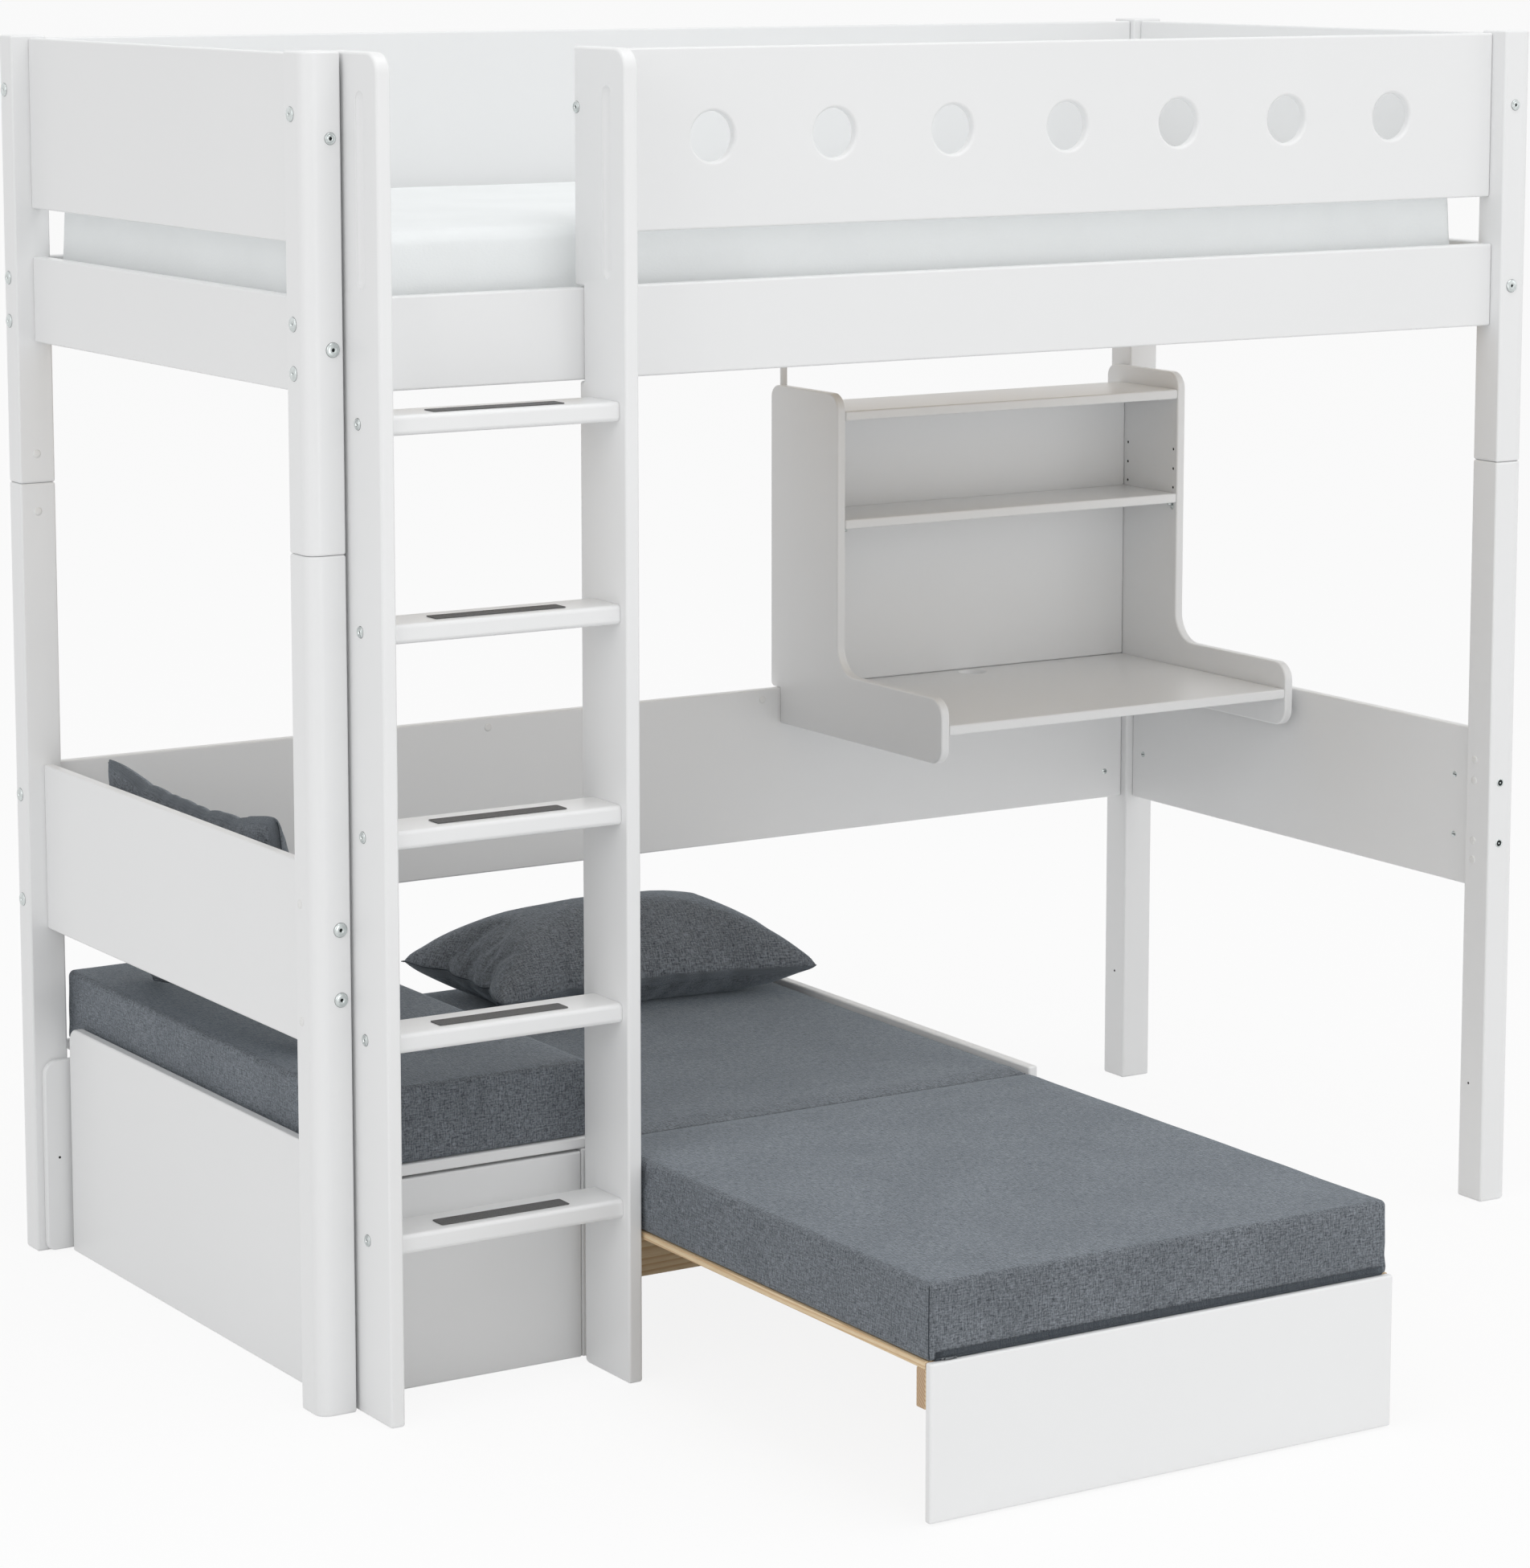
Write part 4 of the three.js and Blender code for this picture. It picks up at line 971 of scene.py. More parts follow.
def spread_slats(low, high, count):
    """Where each of a row of slats starts along X, evenly between a box's two ends."""
    return np.linspace(low.x, high.x - SLAT_WIDTH, count)


def pine_pieces():
    """The slats, rails and bearers."""
    for node in ("front_bearer", "back_bearer", "pullout_front_rail"):
        planed(node + "_planed", [(*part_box(node), "x")], body_of(node), node)

    low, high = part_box("pullout_slats")
    starts = spread_slats(low, high, MOVING_SLATS)
    moving_under = high.z - MOVING_SLAT_THICKNESS
    stop = ((low.x, high.y - STOP_RAIL_DEPTH, low.z), (high.x, high.y, moving_under), "x")
    comb = [*slats(low, high, starts, MOVING_SLAT_THICKNESS), stop]
    planed("pullout_slats_planed", comb, "pullout", "pullout_slats")

    low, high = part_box("guest_slats_fixed")
    rail_top = high.z - MOVING_SLAT_THICKNESS - FIXED_RAIL_DROP
    front = ((low.x, low.y, low.z), (high.x, low.y + FIXED_RAIL_DEPTH, rail_top), "x")
    under = high.z - FIXED_SLAT_THICKNESS
    rear_low = (low.x, high.y - REAR_RAIL_DEPTH, under - REAR_RAIL_HEIGHT)
    rear = (rear_low, (high.x, high.y, under), "x")
    between = (starts[:-1] + starts[1:]) / 2
    comb = [*slats(low, high, between, FIXED_SLAT_THICKNESS), front, rear]
    planed("guest_slats_planed", comb, "bed", "guest_slats_fixed")

    low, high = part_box("slat_base")
    comb = slats(low, high, spread_slats(low, high, BED_SLATS), BED_SLAT_THICKNESS)
    for y in (low.y + STRAP_INSET, high.y - STRAP_INSET - STRAP_WIDTH):
        strap_high = (high.x, y + STRAP_WIDTH, low.z + STRAP_THICKNESS)
        comb.append(((low.x, y, low.z), strap_high, "x"))
    planed("slat_base_planed", comb, "bed", "slat_base")


def lattice_lines(low, high, edge, spacing):
    """Places of the grid lines of one side: even between the rounded edges, and in each edge at the
    radius times the tangent of even angles, which is even round the edge once it is rounded."""
    offsets = edge * np.tan(np.radians(EDGE_ANGLES))
    middle = np.linspace(low + edge, high - edge, max(2, int((high - low - 2 * edge) / spacing)))
    return np.concatenate([low + edge - offsets, middle, high - edge + offsets[::-1]])


def block_cells(counts):
    """The lattice points on the six faces of a block of cells, each once, with the faces' squares,
    outward, and the side that each square is on."""
    squares, sides = [], []
    for axis in range(3):
        u, v = (axis + 1) % 3, (axis + 2) % 3
        rows, columns = np.meshgrid(np.arange(counts[u]), np.arange(counts[v]), indexing="ij")
        for end, level in ((0, 0), (1, counts[axis])):
            ring = [(0, 0), (1, 0), (1, 1), (0, 1)] if end else [(0, 0), (0, 1), (1, 1), (1, 0)]
            square = np.empty((*rows.shape, 4, 3), int)
            for corner, (du, dv) in enumerate(ring):
                square[..., corner, u] = rows + du
                square[..., corner, v] = columns + dv
                square[..., corner, axis] = level
            squares.append(square.reshape(-1, 4, 3))
            sides.append(np.full(rows.size, 2 * axis + end))
    squares = np.concatenate(squares)
    lattice, index = np.unique(squares.reshape(-1, 3), axis=0, return_inverse=True)
    return lattice, index.reshape(-1, 4), np.concatenate(sides)


def set_map(piece, places):
    """Writes a UV map from one place per corner of every face."""
    layer = piece.data.uv_layers.new(name="cloth")
    layer.data.foreach_set("uv", np.asarray(places, float).reshape(-1))


def ripple(places, length, seed):
    """A gentle unevenness from -1 to 1: the mean of plane waves of about one length, with seeded
    directions and phases."""
    random = np.random.default_rng(seed)
    waves = random.normal(size=(RIPPLE_WAVES, 3))
    waves *= TURN / length / np.linalg.norm(waves, axis=1)[:, None]
    return np.sin(places @ waves.T + random.uniform(0, TURN, RIPPLE_WAVES)).mean(1)


def order_by(places, chosen, axis):
    """The chosen points in order along an axis."""
    found = places[chosen]
    return found[np.argsort(found[:, axis])]


def smooth(piece):
    """One subdivision, the same in the viewport as in the render."""
    finer = piece.modifiers.new("finer", "SUBSURF")
    finer.levels = 1
    finer.render_levels = 1


def tube(path, radius, steps=TUBE_STEPS):
    """A round tube along a path, with flat ends. A point of a ring is the path's plus the radius
    times the cosine of an angle along one direction across the path and its sine along another."""
    path = np.asarray(path)
    along = np.gradient(path, axis=0)
    along /= np.linalg.norm(along, axis=1)[:, None]
    helper = np.where(abs(along[:, 2:]) > UPRIGHT, [[1.0, 0, 0]], [[0, 0, 1.0]])
    side = np.cross(along, helper)
    side /= np.linalg.norm(side, axis=1)[:, None]
    up = np.cross(side, along)
    angle = np.linspace(0, TURN, steps, endpoint=False)[None, :, None]
    radius = np.broadcast_to(np.asarray(radius, float), len(path))[:, None, None]
    rings = path[:, None] + radius * (np.cos(angle) * side[:, None] + np.sin(angle) * up[:, None])
    index = np.arange(len(path) * steps).reshape(len(path), steps)
    after = np.roll(index, -1, axis=1)
    faces = np.stack([index[:-1], index[1:], after[1:], after[:-1]], 2).reshape(-1, 4)
    ends = [index[0].tolist(), index[-1][::-1].tolist()]
    return rings.reshape(-1, 3), faces.tolist() + ends


def blow_up(vertices, faces, pressure, stiffness, bending, still=()):
    """Where the points of a sewn cover lie once its filling has pushed it out: cloth under an inner
    pressure, without gravity, run for its frames. Still points stay where they are."""
    cover = make_object("cover_at_work", vertices, faces)
    cloth = cover.modifiers.new("cover", "CLOTH")
    settings = cloth.settings
    settings.quality = CLOTH_QUALITY
    settings.mass = CLOTH_MASS
    settings.tension_stiffness = stiffness
    settings.compression_stiffness = stiffness
    settings.shear_stiffness = stiffness / SHEAR_EASE
    settings.bending_stiffness = bending
    settings.use_pressure = True
    settings.uniform_pressure_force = pressure
    settings.effector_weights.gravity = 0
    if len(still):
        cover.vertex_groups.new(name="still").add(list(map(int, still)), 1.0, "REPLACE")
        settings.vertex_group_mass = "still"
    cloth.point_cache.frame_start = 1
    cloth.point_cache.frame_end = CLOTH_FRAMES
    for number in range(1, CLOTH_FRAMES + 1):
        bpy.context.scene.frame_set(number)
    settled = cover.evaluated_get(bpy.context.evaluated_depsgraph_get()).to_mesh()
    places = np.empty(3 * len(vertices))
    settled.vertices.foreach_get("co", places)
    mesh = cover.data
    bpy.data.objects.remove(cover)
    bpy.data.meshes.remove(mesh)
    bpy.context.scene.frame_set(1)
    return places.reshape(-1, 3)


def capped(vertices, moved, cap):
    """The moved points, held to within a cap of where they started: the step's length becomes the
    cap times the hyperbolic tangent of the length over the cap."""
    step = moved - vertices
    length = np.linalg.norm(step, axis=1)[:, None]
    return vertices + step * cap * np.tanh(length / cap) / np.maximum(length, NO_LENGTH)


def from_side(places, low, high, side):
    """How far each place lies from the plane of a side of a block."""
    return abs(places[:, side // 2] - (low, high)[side % 2][side // 2])


def rounded_block(places, low, high, edge, climb, still_sides):
    """Every place of a block pulled to within a radius of the block's core, which rounds its edges
    and corners, and the direction from the core to it. The radius grows from the foot's to the
    edge's with the climb, and is smaller near an upright side that lies against something."""
    radius = FOAM_FOOT + (edge - FOAM_FOOT) * climb
    for side in still_sides:
        if side < UNDER:
            radius = np.minimum(radius, FOAM_FOOT + from_side(places, low, high, side))
    radius = radius[:, None]
    core = np.clip(places, low + radius, high - radius)
    out = places - core
    out /= np.maximum(np.linalg.norm(out, axis=1), NO_LENGTH)[:, None]
    return core + radius * out, out


def drawn_in(block, nearest, low, high, upright, seed):
    """The step that draws a cover in along its four upright seams: a dip at the seam, and beside it
    puckers, which are waves up the seam that wander with a ripple and die away with the square of
    the distance from it."""
    corner = np.where(nearest > 0, high, low)
    to_seam = np.linalg.norm((block - corner)[:, :2], axis=1)
    inward = np.stack([-nearest[:, 0], -nearest[:, 1], np.zeros(len(block))], 1) / math.sqrt(2)
    wander = PUCKER_WANDER * ripple(block, PUCKER_WANDER_LENGTH, seed)
    pucker = 0.5 + 0.5 * np.sin(TURN * block[:, 2] / PUCKER_LENGTH + wander)
    dip = SEAM_DIP * upright + PUCKER_DEPTH * pucker * np.exp(-((to_seam / PUCKER_REACH) ** 2))
    return dip[:, None] * inward


def foam_cover(node, finish, slot, edge, spacing, cap, still_sides, seed, fold=None):
    """A foam block in a sewn cover. The lattice of a slightly smaller block is rounded; cloth under
    pressure then puffs it out by up to a cap, less near the sides that lie against something, and
    its four upright corners are drawn in along their seams. Towards the side that is a fold the top
    falls off in a straight line, so that the halves lie clear when folded. Gives back the places of
    the four seams."""
    box_low, box_high = (np.array(corner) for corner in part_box(node))
    slack = {side: FIT if side in still_sides else cap for side in range(6)}
    low = box_low + [slack[LEFT], slack[FRONT], slack[UNDER]]
    high = box_high - [slack[RIGHT], slack[BACK], slack[OVER]]
    lines = [lattice_lines(low[i], high[i], edge, spacing) for i in range(3)]
    lattice, squares, sides = block_cells([len(line) - 1 for line in lines])
    places = np.stack([lines[i][lattice[:, i]] for i in range(3)], 1)
    climb = np.clip((places[:, 2] - low[2]) / (high[2] - low[2]), 0, 1)
    block, out = rounded_block(places, low, high, edge, climb, still_sides)

    free = np.ones(len(block))
    for side in still_sides:
        free *= np.clip(from_side(block, low, high, side) / (STILL_REACH * edge), 0, 1)
    still = np.nonzero(free < STILL_FREEDOM)[0]
    blown = blow_up(block, squares.tolist(), FOAM_PRESSURE, FOAM_STIFFNESS, FOAM_BENDING, still)
    block = block + (capped(block, blown, cap) - block) * free[:, None]
    uneven = cap * FOAM_UNEVEN * free * ripple(block, UNEVEN_LENGTH * edge, seed)
    block += uneven[:, None] * out
    if fold is not None:
        away = from_side(block, low, high, fold)
        block[:, 2] -= FOLD_DROP * climb * np.clip(1 - away / FOLD_REACH, 0, 1)

    last = np.array([len(line) - 1 for line in lines])
    upright = ((lattice[:, :2] == 0) | (lattice[:, :2] == last[:2])).all(1)
    nearest = np.sign(block - (low + high) / 2)
    block += drawn_in(block, nearest, low, high, upright, seed + 1)

    piece = make_object(node + "_cover", block, squares.tolist())
    corners = places[squares]
    across, up = (sides // 2 + 1) % 3, (sides // 2 + 2) % 3
    pick = np.arange(len(squares))[:, None], np.arange(4)[None, :]
    flat = np.stack([corners[(*pick, across[:, None])], corners[(*pick, up[:, None])]], 2)
    set_map(piece, flat + sides[:, None, None] * SIDE_STEP)
    smooth(piece)
    dress(piece, finish, slot, body_of(node), node)
    seams = [(nearest[:, 0] == x) & (nearest[:, 1] == y) for x in (-1, 1) for y in (-1, 1)]
    return [order_by(block, upright & seam, 2) for seam in seams]


def pillow_sheets(length, depth, spacing):
    """Two flat sheets with a shared rim, the upper one raised a little in the middle and the lower
    one lowered: height = rise times (1 - u squared) times (1 - v squared). Gives back their points
    and squares, the points of the rim in order, and each point's place on the cloth's map."""
    across, deep = int(length / spacing), int(depth / spacing)
    u, v = np.meshgrid(np.linspace(-1, 1, across + 1), np.linspace(-1, 1, deep + 1), indexing="ij")
    rise = START_RISE * (1 - u**2) * (1 - v**2)
    flat = np.stack([u * length / 2, v * depth / 2], 2)
    upper = np.concatenate([flat, rise[..., None]], 2).reshape(-1, 3)
    lower = upper * [1, 1, -1]
    number = np.arange(upper.shape[0]).reshape(u.shape)
    inside = np.zeros(u.shape, bool)
    inside[1:-1, 1:-1] = True
    below = number.copy()
    below[inside] = upper.shape[0] + np.arange(inside.sum())
    vertices = np.concatenate([upper, lower[inside.reshape(-1)]])
    squares = []
    for grid, turned in ((number, False), (below, True)):
        ring = [grid[:-1, :-1], grid[1:, :-1], grid[1:, 1:], grid[:-1, 1:]]
        square = np.stack(ring[::-1] if turned else ring, 2)
        squares.append(square.reshape(-1, 4))
    squares = np.concatenate(squares)
    rim = np.concatenate([number[:, 0], number[-1, 1:], number[-2::-1, -1], number[0, -2:0:-1]])
    flat = flat.reshape(-1, 2)
    chart = np.concatenate([flat, flat[inside.reshape(-1)] + [SHEET_STEP, 0]])
    return vertices, squares, rim, chart


def stuffed(vertices, squares, chart, size, slack):
    """The sheets blown up as cloth and scaled to the pillow's length and depth. Size is its height
    above and below the seam; a point's own is that times its share of the blown height, to the
    power of the plumpness. Slack is the share of the sides' drawing in that the stuffing pushes
    back out."""
    half = np.array([PILLOW_LENGTH, PILLOW_DEPTH]) / 2
    blown = blow_up(vertices, squares.tolist(), PILLOW_PRESSURE, PILLOW_STIFFNESS, PILLOW_BENDING)
    middle = (blown.max(0) + blown.min(0)) / 2
    shape = (blown - middle) / (np.ptp(blown, axis=0) / 2)
    flat = chart - [SHEET_STEP, 0] * (chart[:, :1] > PILLOW_LENGTH)
    shape[:, :2] *= half
    shape[:, :2] += slack * (flat - shape[:, :2])
    above, below = size
    swell = abs(shape[:, 2]) ** PILLOW_PLUMPNESS
    shape[:, 2] = np.where(shape[:, 2] > 0, above, -below) * swell
    return shape


def flattened(shape, underside):
    """A pillow that lies on its underside: past the start of an ease the depth goes on as the ease
    times the hyperbolic tangent of what is left over the ease."""
    depth = -shape[:, 2]
    start = underside - UNDERSIDE_EASE
    eased = start + UNDERSIDE_EASE * np.tanh((depth - start) / UNDERSIDE_EASE)
    shape[:, 2] = -np.where(depth > start, eased, depth)


def stitched(name, thread, body):
    """A seam's thread or welt, in the darker cloth."""
    piece = make_object(name, *thread)
    set_map(piece, np.zeros((len(piece.data.loops), 2)))
    dress(piece, "seam", "grey_cloth", body)


def pillow(node, size, lean, underside, folds, slack):
    """A stuffed pillow, flattened where it lies, leaned or turned, and set in the middle of its
    space. One long side, on the side that folds says, is a fold of the cloth, and the other three
    are sewn."""
    vertices, squares, rim, chart = pillow_sheets(PILLOW_LENGTH, PILLOW_DEPTH, PILLOW_SPACING)
    shape = stuffed(vertices, squares, chart, size, slack)
    if underside:
        flattened(shape, underside)
    placed = shape @ np.array(lean).T
    box_low, box_high = (np.array(corner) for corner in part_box(node))
    shift = (box_low + box_high) / 2 - (placed.max(0) + placed.min(0)) / 2
    shift[2] = box_low[2] - placed[:, 2].min()
    placed += shift
    piece = make_object(node + "_cover", placed, squares.tolist())
    set_map(piece, chart[squares])
    smooth(piece)
    dress(piece, "grey", "grey_cloth", body_of(node), node)
    from_fold = abs(chart[:, 1] - folds * PILLOW_DEPTH / 2)
    rim = np.roll(rim, -np.argmax(from_fold[rim] < FIT))
    sewn = rim[from_fold[rim] > FIT]
    stitched(node + "_seam", tube(placed[sewn], SEAM_THREAD), body_of(node))


def turned(axis, degrees):
    """The matrix of a turn about Y or Z."""
    c, s = math.cos(math.radians(degrees)), math.sin(math.radians(degrees))
    if axis == "z":
        return np.array([[c, -s, 0], [s, c, 0], [0, 0, 1]])
    return np.array([[c, 0, s], [0, 1, 0], [-s, 0, c]])


def soft_goods():
    """Two mattresses, the seat cushion and two pillows, with their seams."""
    grey = ("grey", "grey_cloth", FOAM_EDGE, FOAM_SPACING, FOAM_CAP)
    covers = (
        ("guest_mattress_front", (UNDER, BACK), 1, BACK),
        ("guest_mattress_back", (UNDER, FRONT, BACK), 2, FRONT),
        ("seat_cushion", (UNDER, RIGHT), 3, None),
    )
    seams = {node: foam_cover(node, *grey, *rest) for node, *rest in covers}
    for node, rows in seams.items():
        threads = joined([tube(row, SEAM_THREAD) for row in rows])
        stitched(node + "_seams", threads, body_of(node))
    upper = (UPPER_FOAM_EDGE, UPPER_FOAM_SPACING, UPPER_FOAM_CAP)
    foam_cover("upper_mattress", "white", "white_cloth", *upper, (UNDER,), 4)
    pillow("pillow_bed", LYING_SIZE, turned("z", LYING_TURN), LYING_UNDERSIDE, -1, LYING_SLACK)
    upright = np.array([[0, 0, 1], [1, 0, 0], [0, 1, 0]])
    lean = turned("y", STANDING_TURN) @ upright
    pillow("pillow_back", STANDING_SIZE, lean, 0, 1, STANDING_SLACK)


def turned_parts(profile, places, hexed=(), steps=BOLT_STEPS):
    """Turned parts of one profile at several places. Each profile point gives a ring of its radius
    at its height along the facing; a ring that is hexed has its radius times cos 30 over the cosine
    of the angle from the nearest flat. A point closes each end."""
    angle = np.linspace(0, TURN, steps, endpoint=False)
    flats = np.cos(TURN / 12) / np.cos((angle + TURN / 12) % (TURN / 6) - TURN / 12)
    radii = np.array([[radius] for radius, _ in profile]) * np.ones(steps)
    for row in hexed:
        radii[row] *= flats
    heights = np.array([height for _, height in profile])
    tall = heights[:, None] * np.ones(steps)
    local = np.stack([radii * np.cos(angle), radii * np.sin(angle), tall], 2).reshape(-1, 3)
    local = np.vstack([local, [0, 0, heights[0]], [0, 0, heights[-1]]]) * MM
    index = np.arange(radii.size).reshape(radii.shape)
    after = np.roll(index, -1, axis=1)
    back, face = radii.size, radii.size + 1
    faces = bands(index)
    faces += [[back, b, a] for a, b in zip(index[0], after[0])]
    faces += [[a, b, face] for a, b in zip(index[-1], after[-1])]
    parts = []
    for place, facing in places:
        out = np.array(FACINGS[facing], float)
        side = np.array([0, 0, 1.0])
        basis = np.stack([side, np.cross(out, side), out])
        parts.append((CORNER + place * MM + local @ basis, faces))
    return joined(parts)


def shade_ring_of(profile):
    """A thin dark ring round a bolt's head where it meets the board: painted shade at the rim of
    the head.
    """
    radius = profile[0][0] + SHADE_RING_WIDTH
    return [(radius, -SHADE_RING_DEPTH), (radius, SHADE_RING_HEIGHT)]


def measured(node, end, axis):
    """A coordinate of a node's low (0) or high (1) corner, in millimetres from the bed's corner."""
    return (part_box(node)[end][axis] - CORNER[axis]) / MM


def spots(x, y, z, facing):
    """Every combination of places along X, Y and Z, each one number or a row, with a facing."""
    places = np.stack(np.meshgrid(x, y, z, indexing="ij"), -1).reshape(-1, 3)
    return [(place, facing) for place in places]


def bolt_spots(width, depth):
    """The flat bolts of the posts, and the ringed bolts of the posts and the ladder, each where the
    photograph shows it, and mirrored on the sides that it doesn't show."""
    faces = (FACE_BOLT_INSETS[0], width - FACE_BOLT_INSETS[1])
    flat = spots(0, *SIDE_BOLTS_FRONT, "left") + spots(width, *SIDE_BOLTS_FRONT, "right")
    flat += spots(faces[0], 0, FACE_BOLTS, "front") + spots(faces[1], 0, FACE_BOLTS[0], "front")
    flat += spots(faces, depth, FACE_BOLTS, "back")
    inset, heights = SIDE_BOLTS_BACK
    flat += spots(0, depth - inset, heights, "left") + spots(width, depth - inset, heights, "right")

    ringed = spots(faces, 0, FACE_RINGED_BOLT, "front")
    ringed += spots(faces, depth, FACE_RINGED_BOLT, "back")
    names = [f"rung_{number}" for number in range(1, RUNGS + 1)]
    heights = [(measured(name, 0, 2) + measured(name, 1, 2)) / 2 for name in names]
    left, right = measured("ladder_stile_left", 0, 0), measured("ladder_stile_right", 1, 0)
    ringed += spots(left, RUNG_BOLTS_DEPTH, heights, "left")
    ringed += spots(right, RUNG_BOLTS_DEPTH, heights, "right")
    ringed += spots(measured("ladder_stile_right", 0, 0), *STILE_BOLT, "left")
    return flat, ringed


def cap_spots(inner, depth, panel):
    """The white caps on the posts and on the back panel."""
    caps = []
    for place in LEFT_POST_CAPS:
        caps += spots(0, *place, "left")
    caps += spots(inner, *RIGHT_POST_CAPS, "left")
    inset, heights = BACK_POST_CAPS
    caps += spots(inset, depth - POST_SIDE, heights, "front")
    for x, z in BACK_PANEL_CAPS:
        caps += spots(x, panel, z, "front")
    return caps


def shelf_spots(z):
    """Heights in the rows of pin holes, on the inner faces of the desk's two sides."""
    rows = [y / MM for y in PIN_ROWS]
    left, right = measured("desk_side_left", 1, 0), measured("desk_side_right", 0, 0)
    return spots(left, rows, z, "right") + spots(right, rows, z, "left")


def slot_shade_part(place, facing):
    """The slot across a barrel nut's head, as a dark bar of painted shade."""
    sizes = {
        "front": (SLOT_LENGTH / 2, SLOT_RISE, SLOT_HEIGHT / 2),
        "left": (SLOT_RISE, SLOT_LENGTH / 2, SLOT_HEIGHT / 2),
    }
    middle, reach = CORNER + place * MM, np.array(sizes[facing]) * MM
    return taken_apart(plain_slab("slot", middle - reach, middle + reach, SLOT_EDGE))


def fasteners():
    """Bolts, sockets, caps, barrel nuts, pins and screw holes, with dark rings, discs and bars of
    painted shade round each bolt's head, at the floors of the sockets, in the holes and across the
    nuts' slots.
    """
    width = round(measured("lower_post_front_right", 1, 0))
    depth = round(measured("upper_post_back_left", 1, 1))
    inner = width - POST_SIDE
    flat, ringed = bolt_spots(width, depth)
    sockets = spots(width - FACE_BOLT_INSETS[1], 0, POST_SOCKETS, "front")
    panel = measured("lower_back_panel", 0, 1)
    caps = cap_spots(inner, depth, panel)
    nuts = spots(BACK_PANEL_NUT[0], panel, BACK_PANEL_NUT[1], "front")
    for place in RIGHT_PANEL_NUTS:
        nuts += spots(measured("lower_right_panel", 0, 0), *place, "left")
    holes = spots(inner, depth - RIGHT_BACK_HOLE[0], RIGHT_BACK_HOLE[1], "left")
    holes += spots(inner, *RIGHT_FRONT_HOLE, "left")
    board = measured("sofa_back_board", 0, 1)
    holes += spots(BACK_BOARD_HOLE[0], board, BACK_BOARD_HOLE[1], "front")
    shelf = measured("middle_shelf", 0, 2) - SHELF_PIN[0][0]
    pins, tabs = shelf_spots(shelf), shelf_spots(shelf - PIN_TAB_DROP)
    shades = shelf_spots([z / MM for z in PIN_HEIGHTS])
    few = SMALL_ROUND_STEPS
    socket_shades = turned_parts(BOLT_SOCKET_SHADE, flat + ringed, SOCKET_HEX, few)
    made = (
        ("flat_bolts", turned_parts(FLAT_BOLT, flat, BOLT_HEX), "steel", "bolt_steel"),
        ("ringed_bolts", turned_parts(RINGED_BOLT, ringed, BOLT_HEX), "steel", "bolt_steel"),
        # dark rings of painted shade round each bolt's head
        ("flat_bolt_shade_rings", turned_parts(shade_ring_of(FLAT_BOLT), flat), "seat", "bolt_steel"),
        ("ringed_bolt_shade_rings", turned_parts(shade_ring_of(RINGED_BOLT), ringed), "seat", "bolt_steel"),
        # dark floors of painted shade in the sockets
        ("sockets", socket_shades, "socket", "bolt_steel"),
        ("socket_rings", turned_parts(SOCKET_RING, sockets), "steel", "bolt_steel"),
        ("socket_shade_discs", turned_parts(SOCKET_SHADE_DISC, sockets), "socket", "bolt_steel"),
        ("socket_pins", turned_parts(SOCKET_PIN, sockets), "steel", "bolt_steel"),
        ("cover_caps", turned_parts(COVER_CAP, caps), "cap", "cap_plastic"),
        ("barrel_nuts", turned_parts(BARREL_NUT, nuts), "steel", "bolt_steel"),
        # a dark disc of painted shade in each screw hole
        ("screw_hole_shades", turned_parts(SCREW_HOLE_SHADE, holes, steps=few), "hole", "cap_plastic"),
        ("shelf_pins", turned_parts(SHELF_PIN, pins, steps=few), "steel", "bolt_steel"),
        ("shelf_pin_tabs", turned_parts(PIN_TAB, tabs), "steel", "bolt_steel"),
        # dark discs and bars of painted shade in the pin holes and across the nuts' slots
        ("pin_hole_shades", turned_parts(PIN_SHADE, shades, steps=few), "hole", "white_lacquer"),
        ("nut_slot_shades", joined([slot_shade_part(*nut) for nut in nuts]), "hole", "bolt_steel"),
    )
    for name, (vertices, faces), finish, slot in made:
        dress(make_object(name, vertices, faces), finish, slot, "bed")


def corner_numbers(piece):
    """The number of the vertex at each corner of every face."""
    numbers = np.empty(len(piece.data.loops), np.int32)
    piece.data.loops.foreach_get("vertex_index", numbers)
    return numbers


def zip_tape(x, middle):
    """A tape over the mattress's rounded lower edge: its section, an inner and an outer arc round
    the rounding's middle whose upper end stands a little taller, carried along the edge."""
    angle = np.radians(np.linspace(*ZIP_TAPE_SPAN, ZIP_TAPE_STEPS))
    layers = []
    for lift in ZIP_TAPE_LIFT:
        row = middle - (FOAM_FOOT + lift) * np.stack([np.cos(angle), np.sin(angle)], 1)
        row[0, 1] += ZIP_TAPE_RISE
        layers.append(row)
    ring = np.concatenate([layers[0], layers[1][::-1]])
    along = np.broadcast_to(x[:, None, None], (len(x), len(ring), 1))
    rows = np.concatenate([along, np.broadcast_to(ring, (len(x), *ring.shape))], 2)
    index = np.arange(rows.shape[0] * rows.shape[1]).reshape(rows.shape[:2])
    ends = [index[0][::-1].tolist(), index[-1].tolist()]
    tape = make_object("zip_tape", rows.reshape(-1, 3), bands(index) + ends)
    across, up = np.outer(ZIP_TAPE_MAP, corner_numbers(tape))
    set_map(tape, np.stack([across % SIDE_STEP, up], 1))
    dress(tape, "tape", "grey_cloth", "mattress_flap")


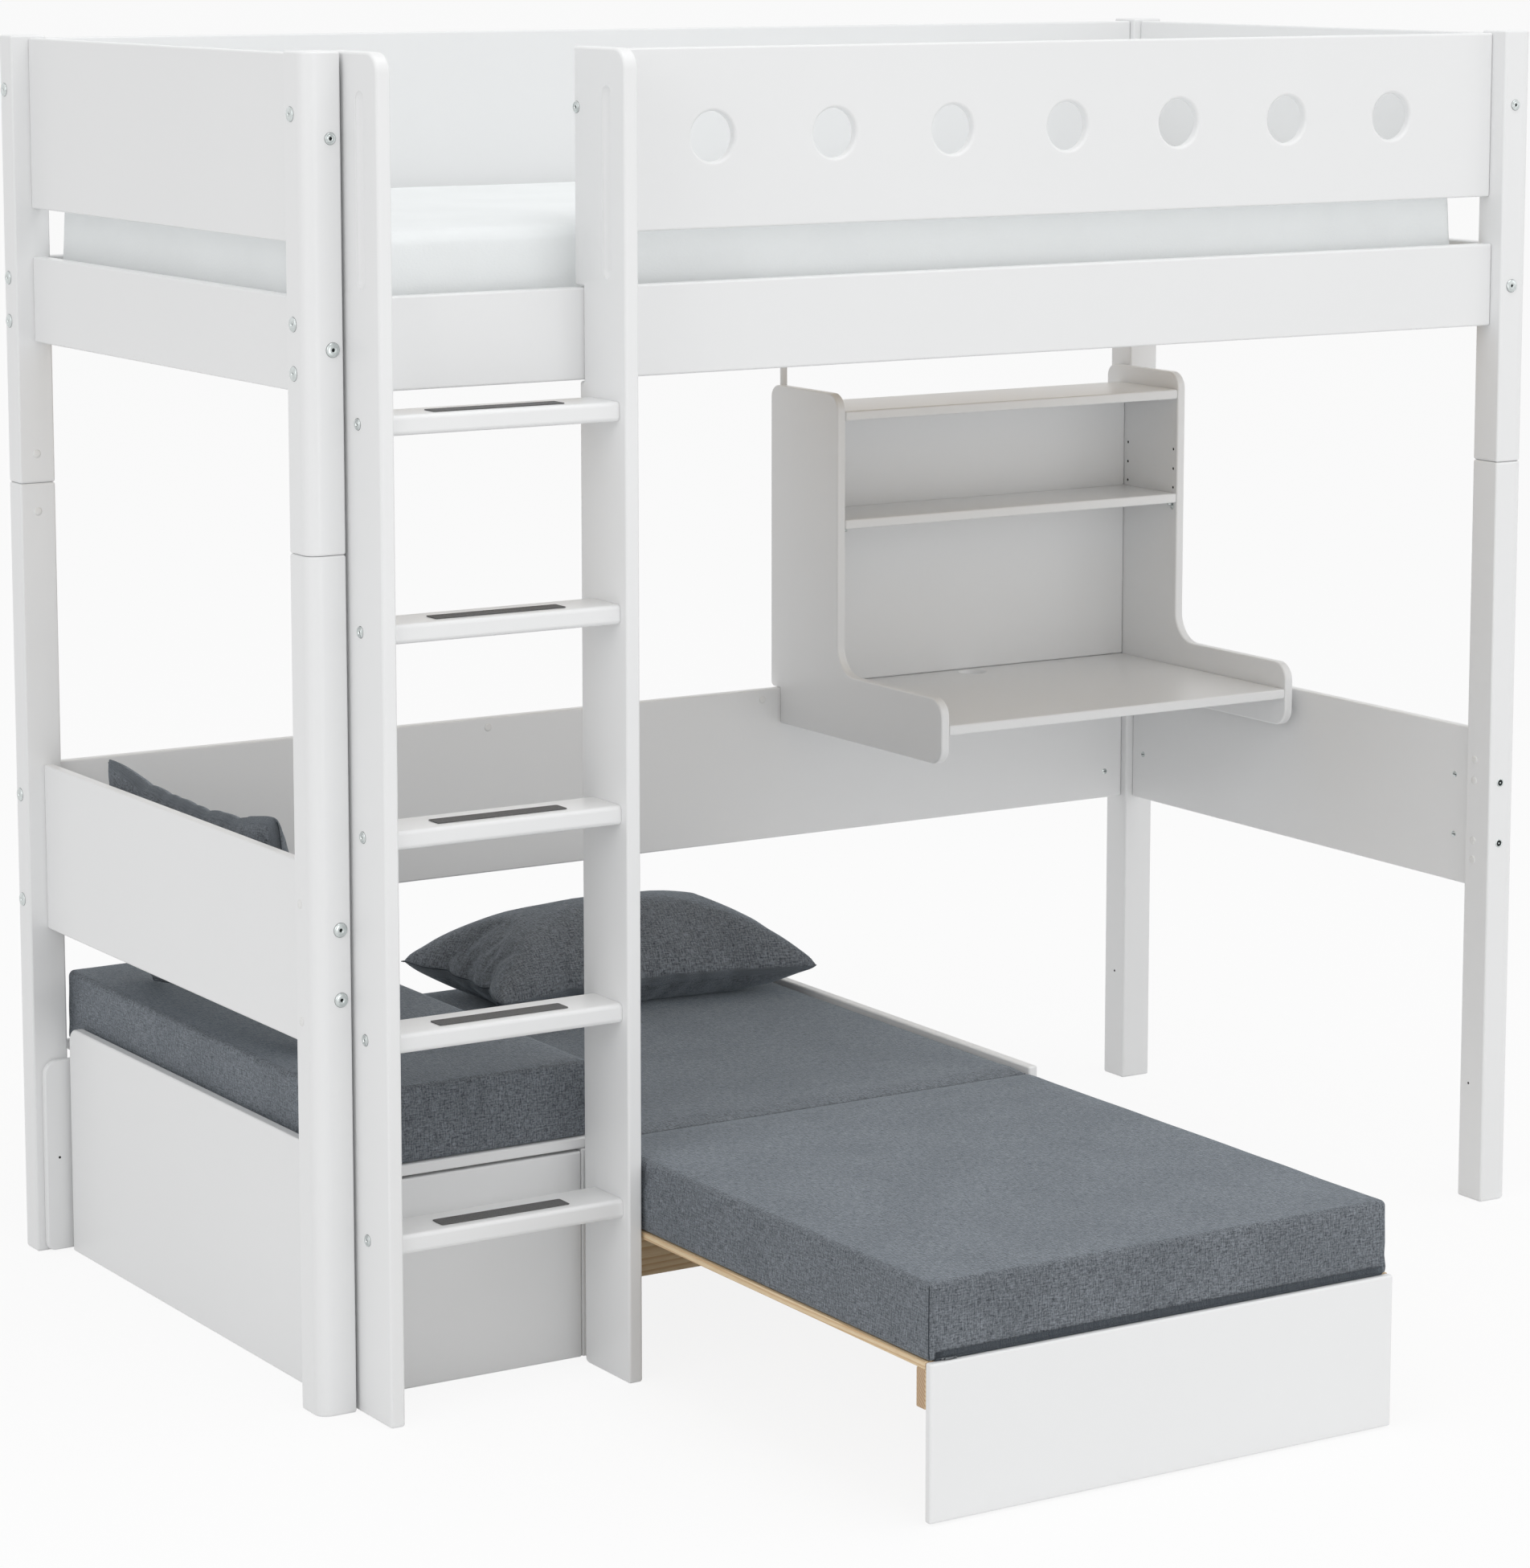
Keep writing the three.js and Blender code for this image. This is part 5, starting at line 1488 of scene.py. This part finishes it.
def zip_coil(x, middle):
    """A coil along the tape, whose radius swells at every second step."""
    teeth = np.arange(x[0], x[-1], ZIP_TOOTH_STEP)
    swell = ZIP_COIL_RADIUS + ZIP_TOOTH * (np.arange(len(teeth)) % 2)
    slant = np.array([math.cos(ZIP_COIL_SLANT), math.sin(ZIP_COIL_SLANT)])
    spot = middle - (FOAM_FOOT + ZIP_COIL_LIFT) * slant
    path = np.stack([teeth, np.full(len(teeth), spot[0]), np.full(len(teeth), spot[1])], 1)
    coil = make_object("zip_coil", *tube(path, swell))
    set_map(coil, np.outer(corner_numbers(coil), ZIP_COIL_MAP))
    dress(coil, "tape", "grey_cloth", "mattress_flap")


def zip_slider():
    """The slider, with a slotted tab in front of it."""
    low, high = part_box("zip_slider")
    far = (low.x + SLIDER_LENGTH, high.y, high.z)
    near = (low.x, low.y + SLIDER_SETBACK, low.z)
    body = board_between(near, far, "y", SLIDER_CORNER, SLIDER_EDGE)
    far = (high.x, low.y + TAB_THICKNESS, high.z)
    near = (low.x + SLIDER_LENGTH / 2, low.y, low.z)
    tab = board_between(near, far, "y", TAB_CORNER, TAB_EDGE)
    start, end, side = TAB_SLOT
    slot = rectangle((high.x - start, low.z + side), (high.x - end, high.z - side), TAB_SLOT_CORNER)
    tab.through(hollow(rounded_outline(slot)), TAB_SLOT_EDGE)
    parts = [taken_apart(part.build("part")) for part in (body, tab)]
    dress(make_object("zip_slider_cast", *joined(parts)), "zip", "zip_metal", "zip", "zip_slider")


def zip_fastener():
    """The zip along the front half's lower front edge: tape, coil and slider."""
    low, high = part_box("guest_mattress_front")
    middle = np.array([low.y + FOAM_CAP + FOAM_FOOT, low.z + FIT + FOAM_FOOT])
    x = np.linspace(low.x + ZIP_MARGIN, high.x - ZIP_MARGIN, ZIP_STATIONS)
    zip_tape(x, middle)
    zip_coil(x, middle)
    zip_slider()


def camera():
    """The photograph's viewpoint. Its verticals are upright in the photograph, which a small
    vertical shift keeps as far as the framing needs."""
    lens = bpy.data.cameras.new("photograph")
    lens.lens = CAMERA_LENS
    lens.shift_y = CAMERA_SHIFT
    lens.clip_end = CAMERA_END
    made = bpy.data.objects.new("photograph", lens)
    made.location = CAMERA_PLACE
    made.rotation_euler = (math.radians(90 - CAMERA_PITCH), 0, math.radians(-CAMERA_YAW))
    bpy.context.scene.collection.objects.link(made)
    bpy.context.scene.camera = made


def lamp(name, place, size, power):
    """A square soft light at a place, turned towards the bed."""
    light = bpy.data.lights.new(name, "AREA")
    light.shape = "SQUARE"
    light.size = size
    light.energy = power
    made = bpy.data.objects.new(name, light)
    made.location = place
    made.rotation_euler = (Vector(LAMPS_AIM) - Vector(place)).to_track_quat("-Z", "Y").to_euler()
    bpy.context.scene.collection.objects.link(made)


def studio():
    """Soft light all round, white where the camera sees it, and a pale floor with a shadow."""
    world = bpy.data.worlds.new("studio")
    bpy.context.scene.world = world
    sky = Nodes(world)
    light = sky.node("ShaderNodeBackground", {}, {"Color": WHITE, "Strength": WORLD_LIGHT})
    white = sky.node("ShaderNodeBackground", {}, {"Color": WHITE})
    inputs = {0: sky.sees_background(), 1: light.outputs[0], 2: white.outputs[0]}
    mixed = sky.node("ShaderNodeMixShader", {}, inputs)
    sky.node("ShaderNodeOutputWorld", {}, {"Surface": mixed.outputs[0]})

    for name, (place, size, power) in LAMPS.items():
        lamp(name, place, size, power)

    material = bpy.data.materials.new("pale_floor")
    floor = Nodes(material)
    matt = floor.node("ShaderNodeBsdfDiffuse", {}, {"Color": FLOOR_COLOUR})
    glow = floor.node("ShaderNodeEmission", {}, {"Color": WHITE})
    share = Value(floor, floor.sees_background()) * FLOOR_WHITE
    inputs = {0: share, 1: matt.outputs[0], 2: glow.outputs[0]}
    mixed = floor.node("ShaderNodeMixShader", {}, inputs)
    floor.node("ShaderNodeOutputMaterial", {}, {"Surface": mixed.outputs[0]})
    half = FLOOR_REACH
    corners = [(-half, -half, -FIT), (half, -half, -FIT), (half, half, -FIT), (-half, half, -FIT)]
    ground = make_object("floor", corners, [[0, 1, 2, 3]])
    ground.data.materials.append(material)


bpy.context.scene.view_settings.view_transform = "Standard"
camera()
studio()
plain_boards()
posts()
front_guard()
stiles()
rungs()
desk_sides()
desk_top()
sofa_boards()
pine_pieces()

soft_goods()
fasteners()
zip_fastener()
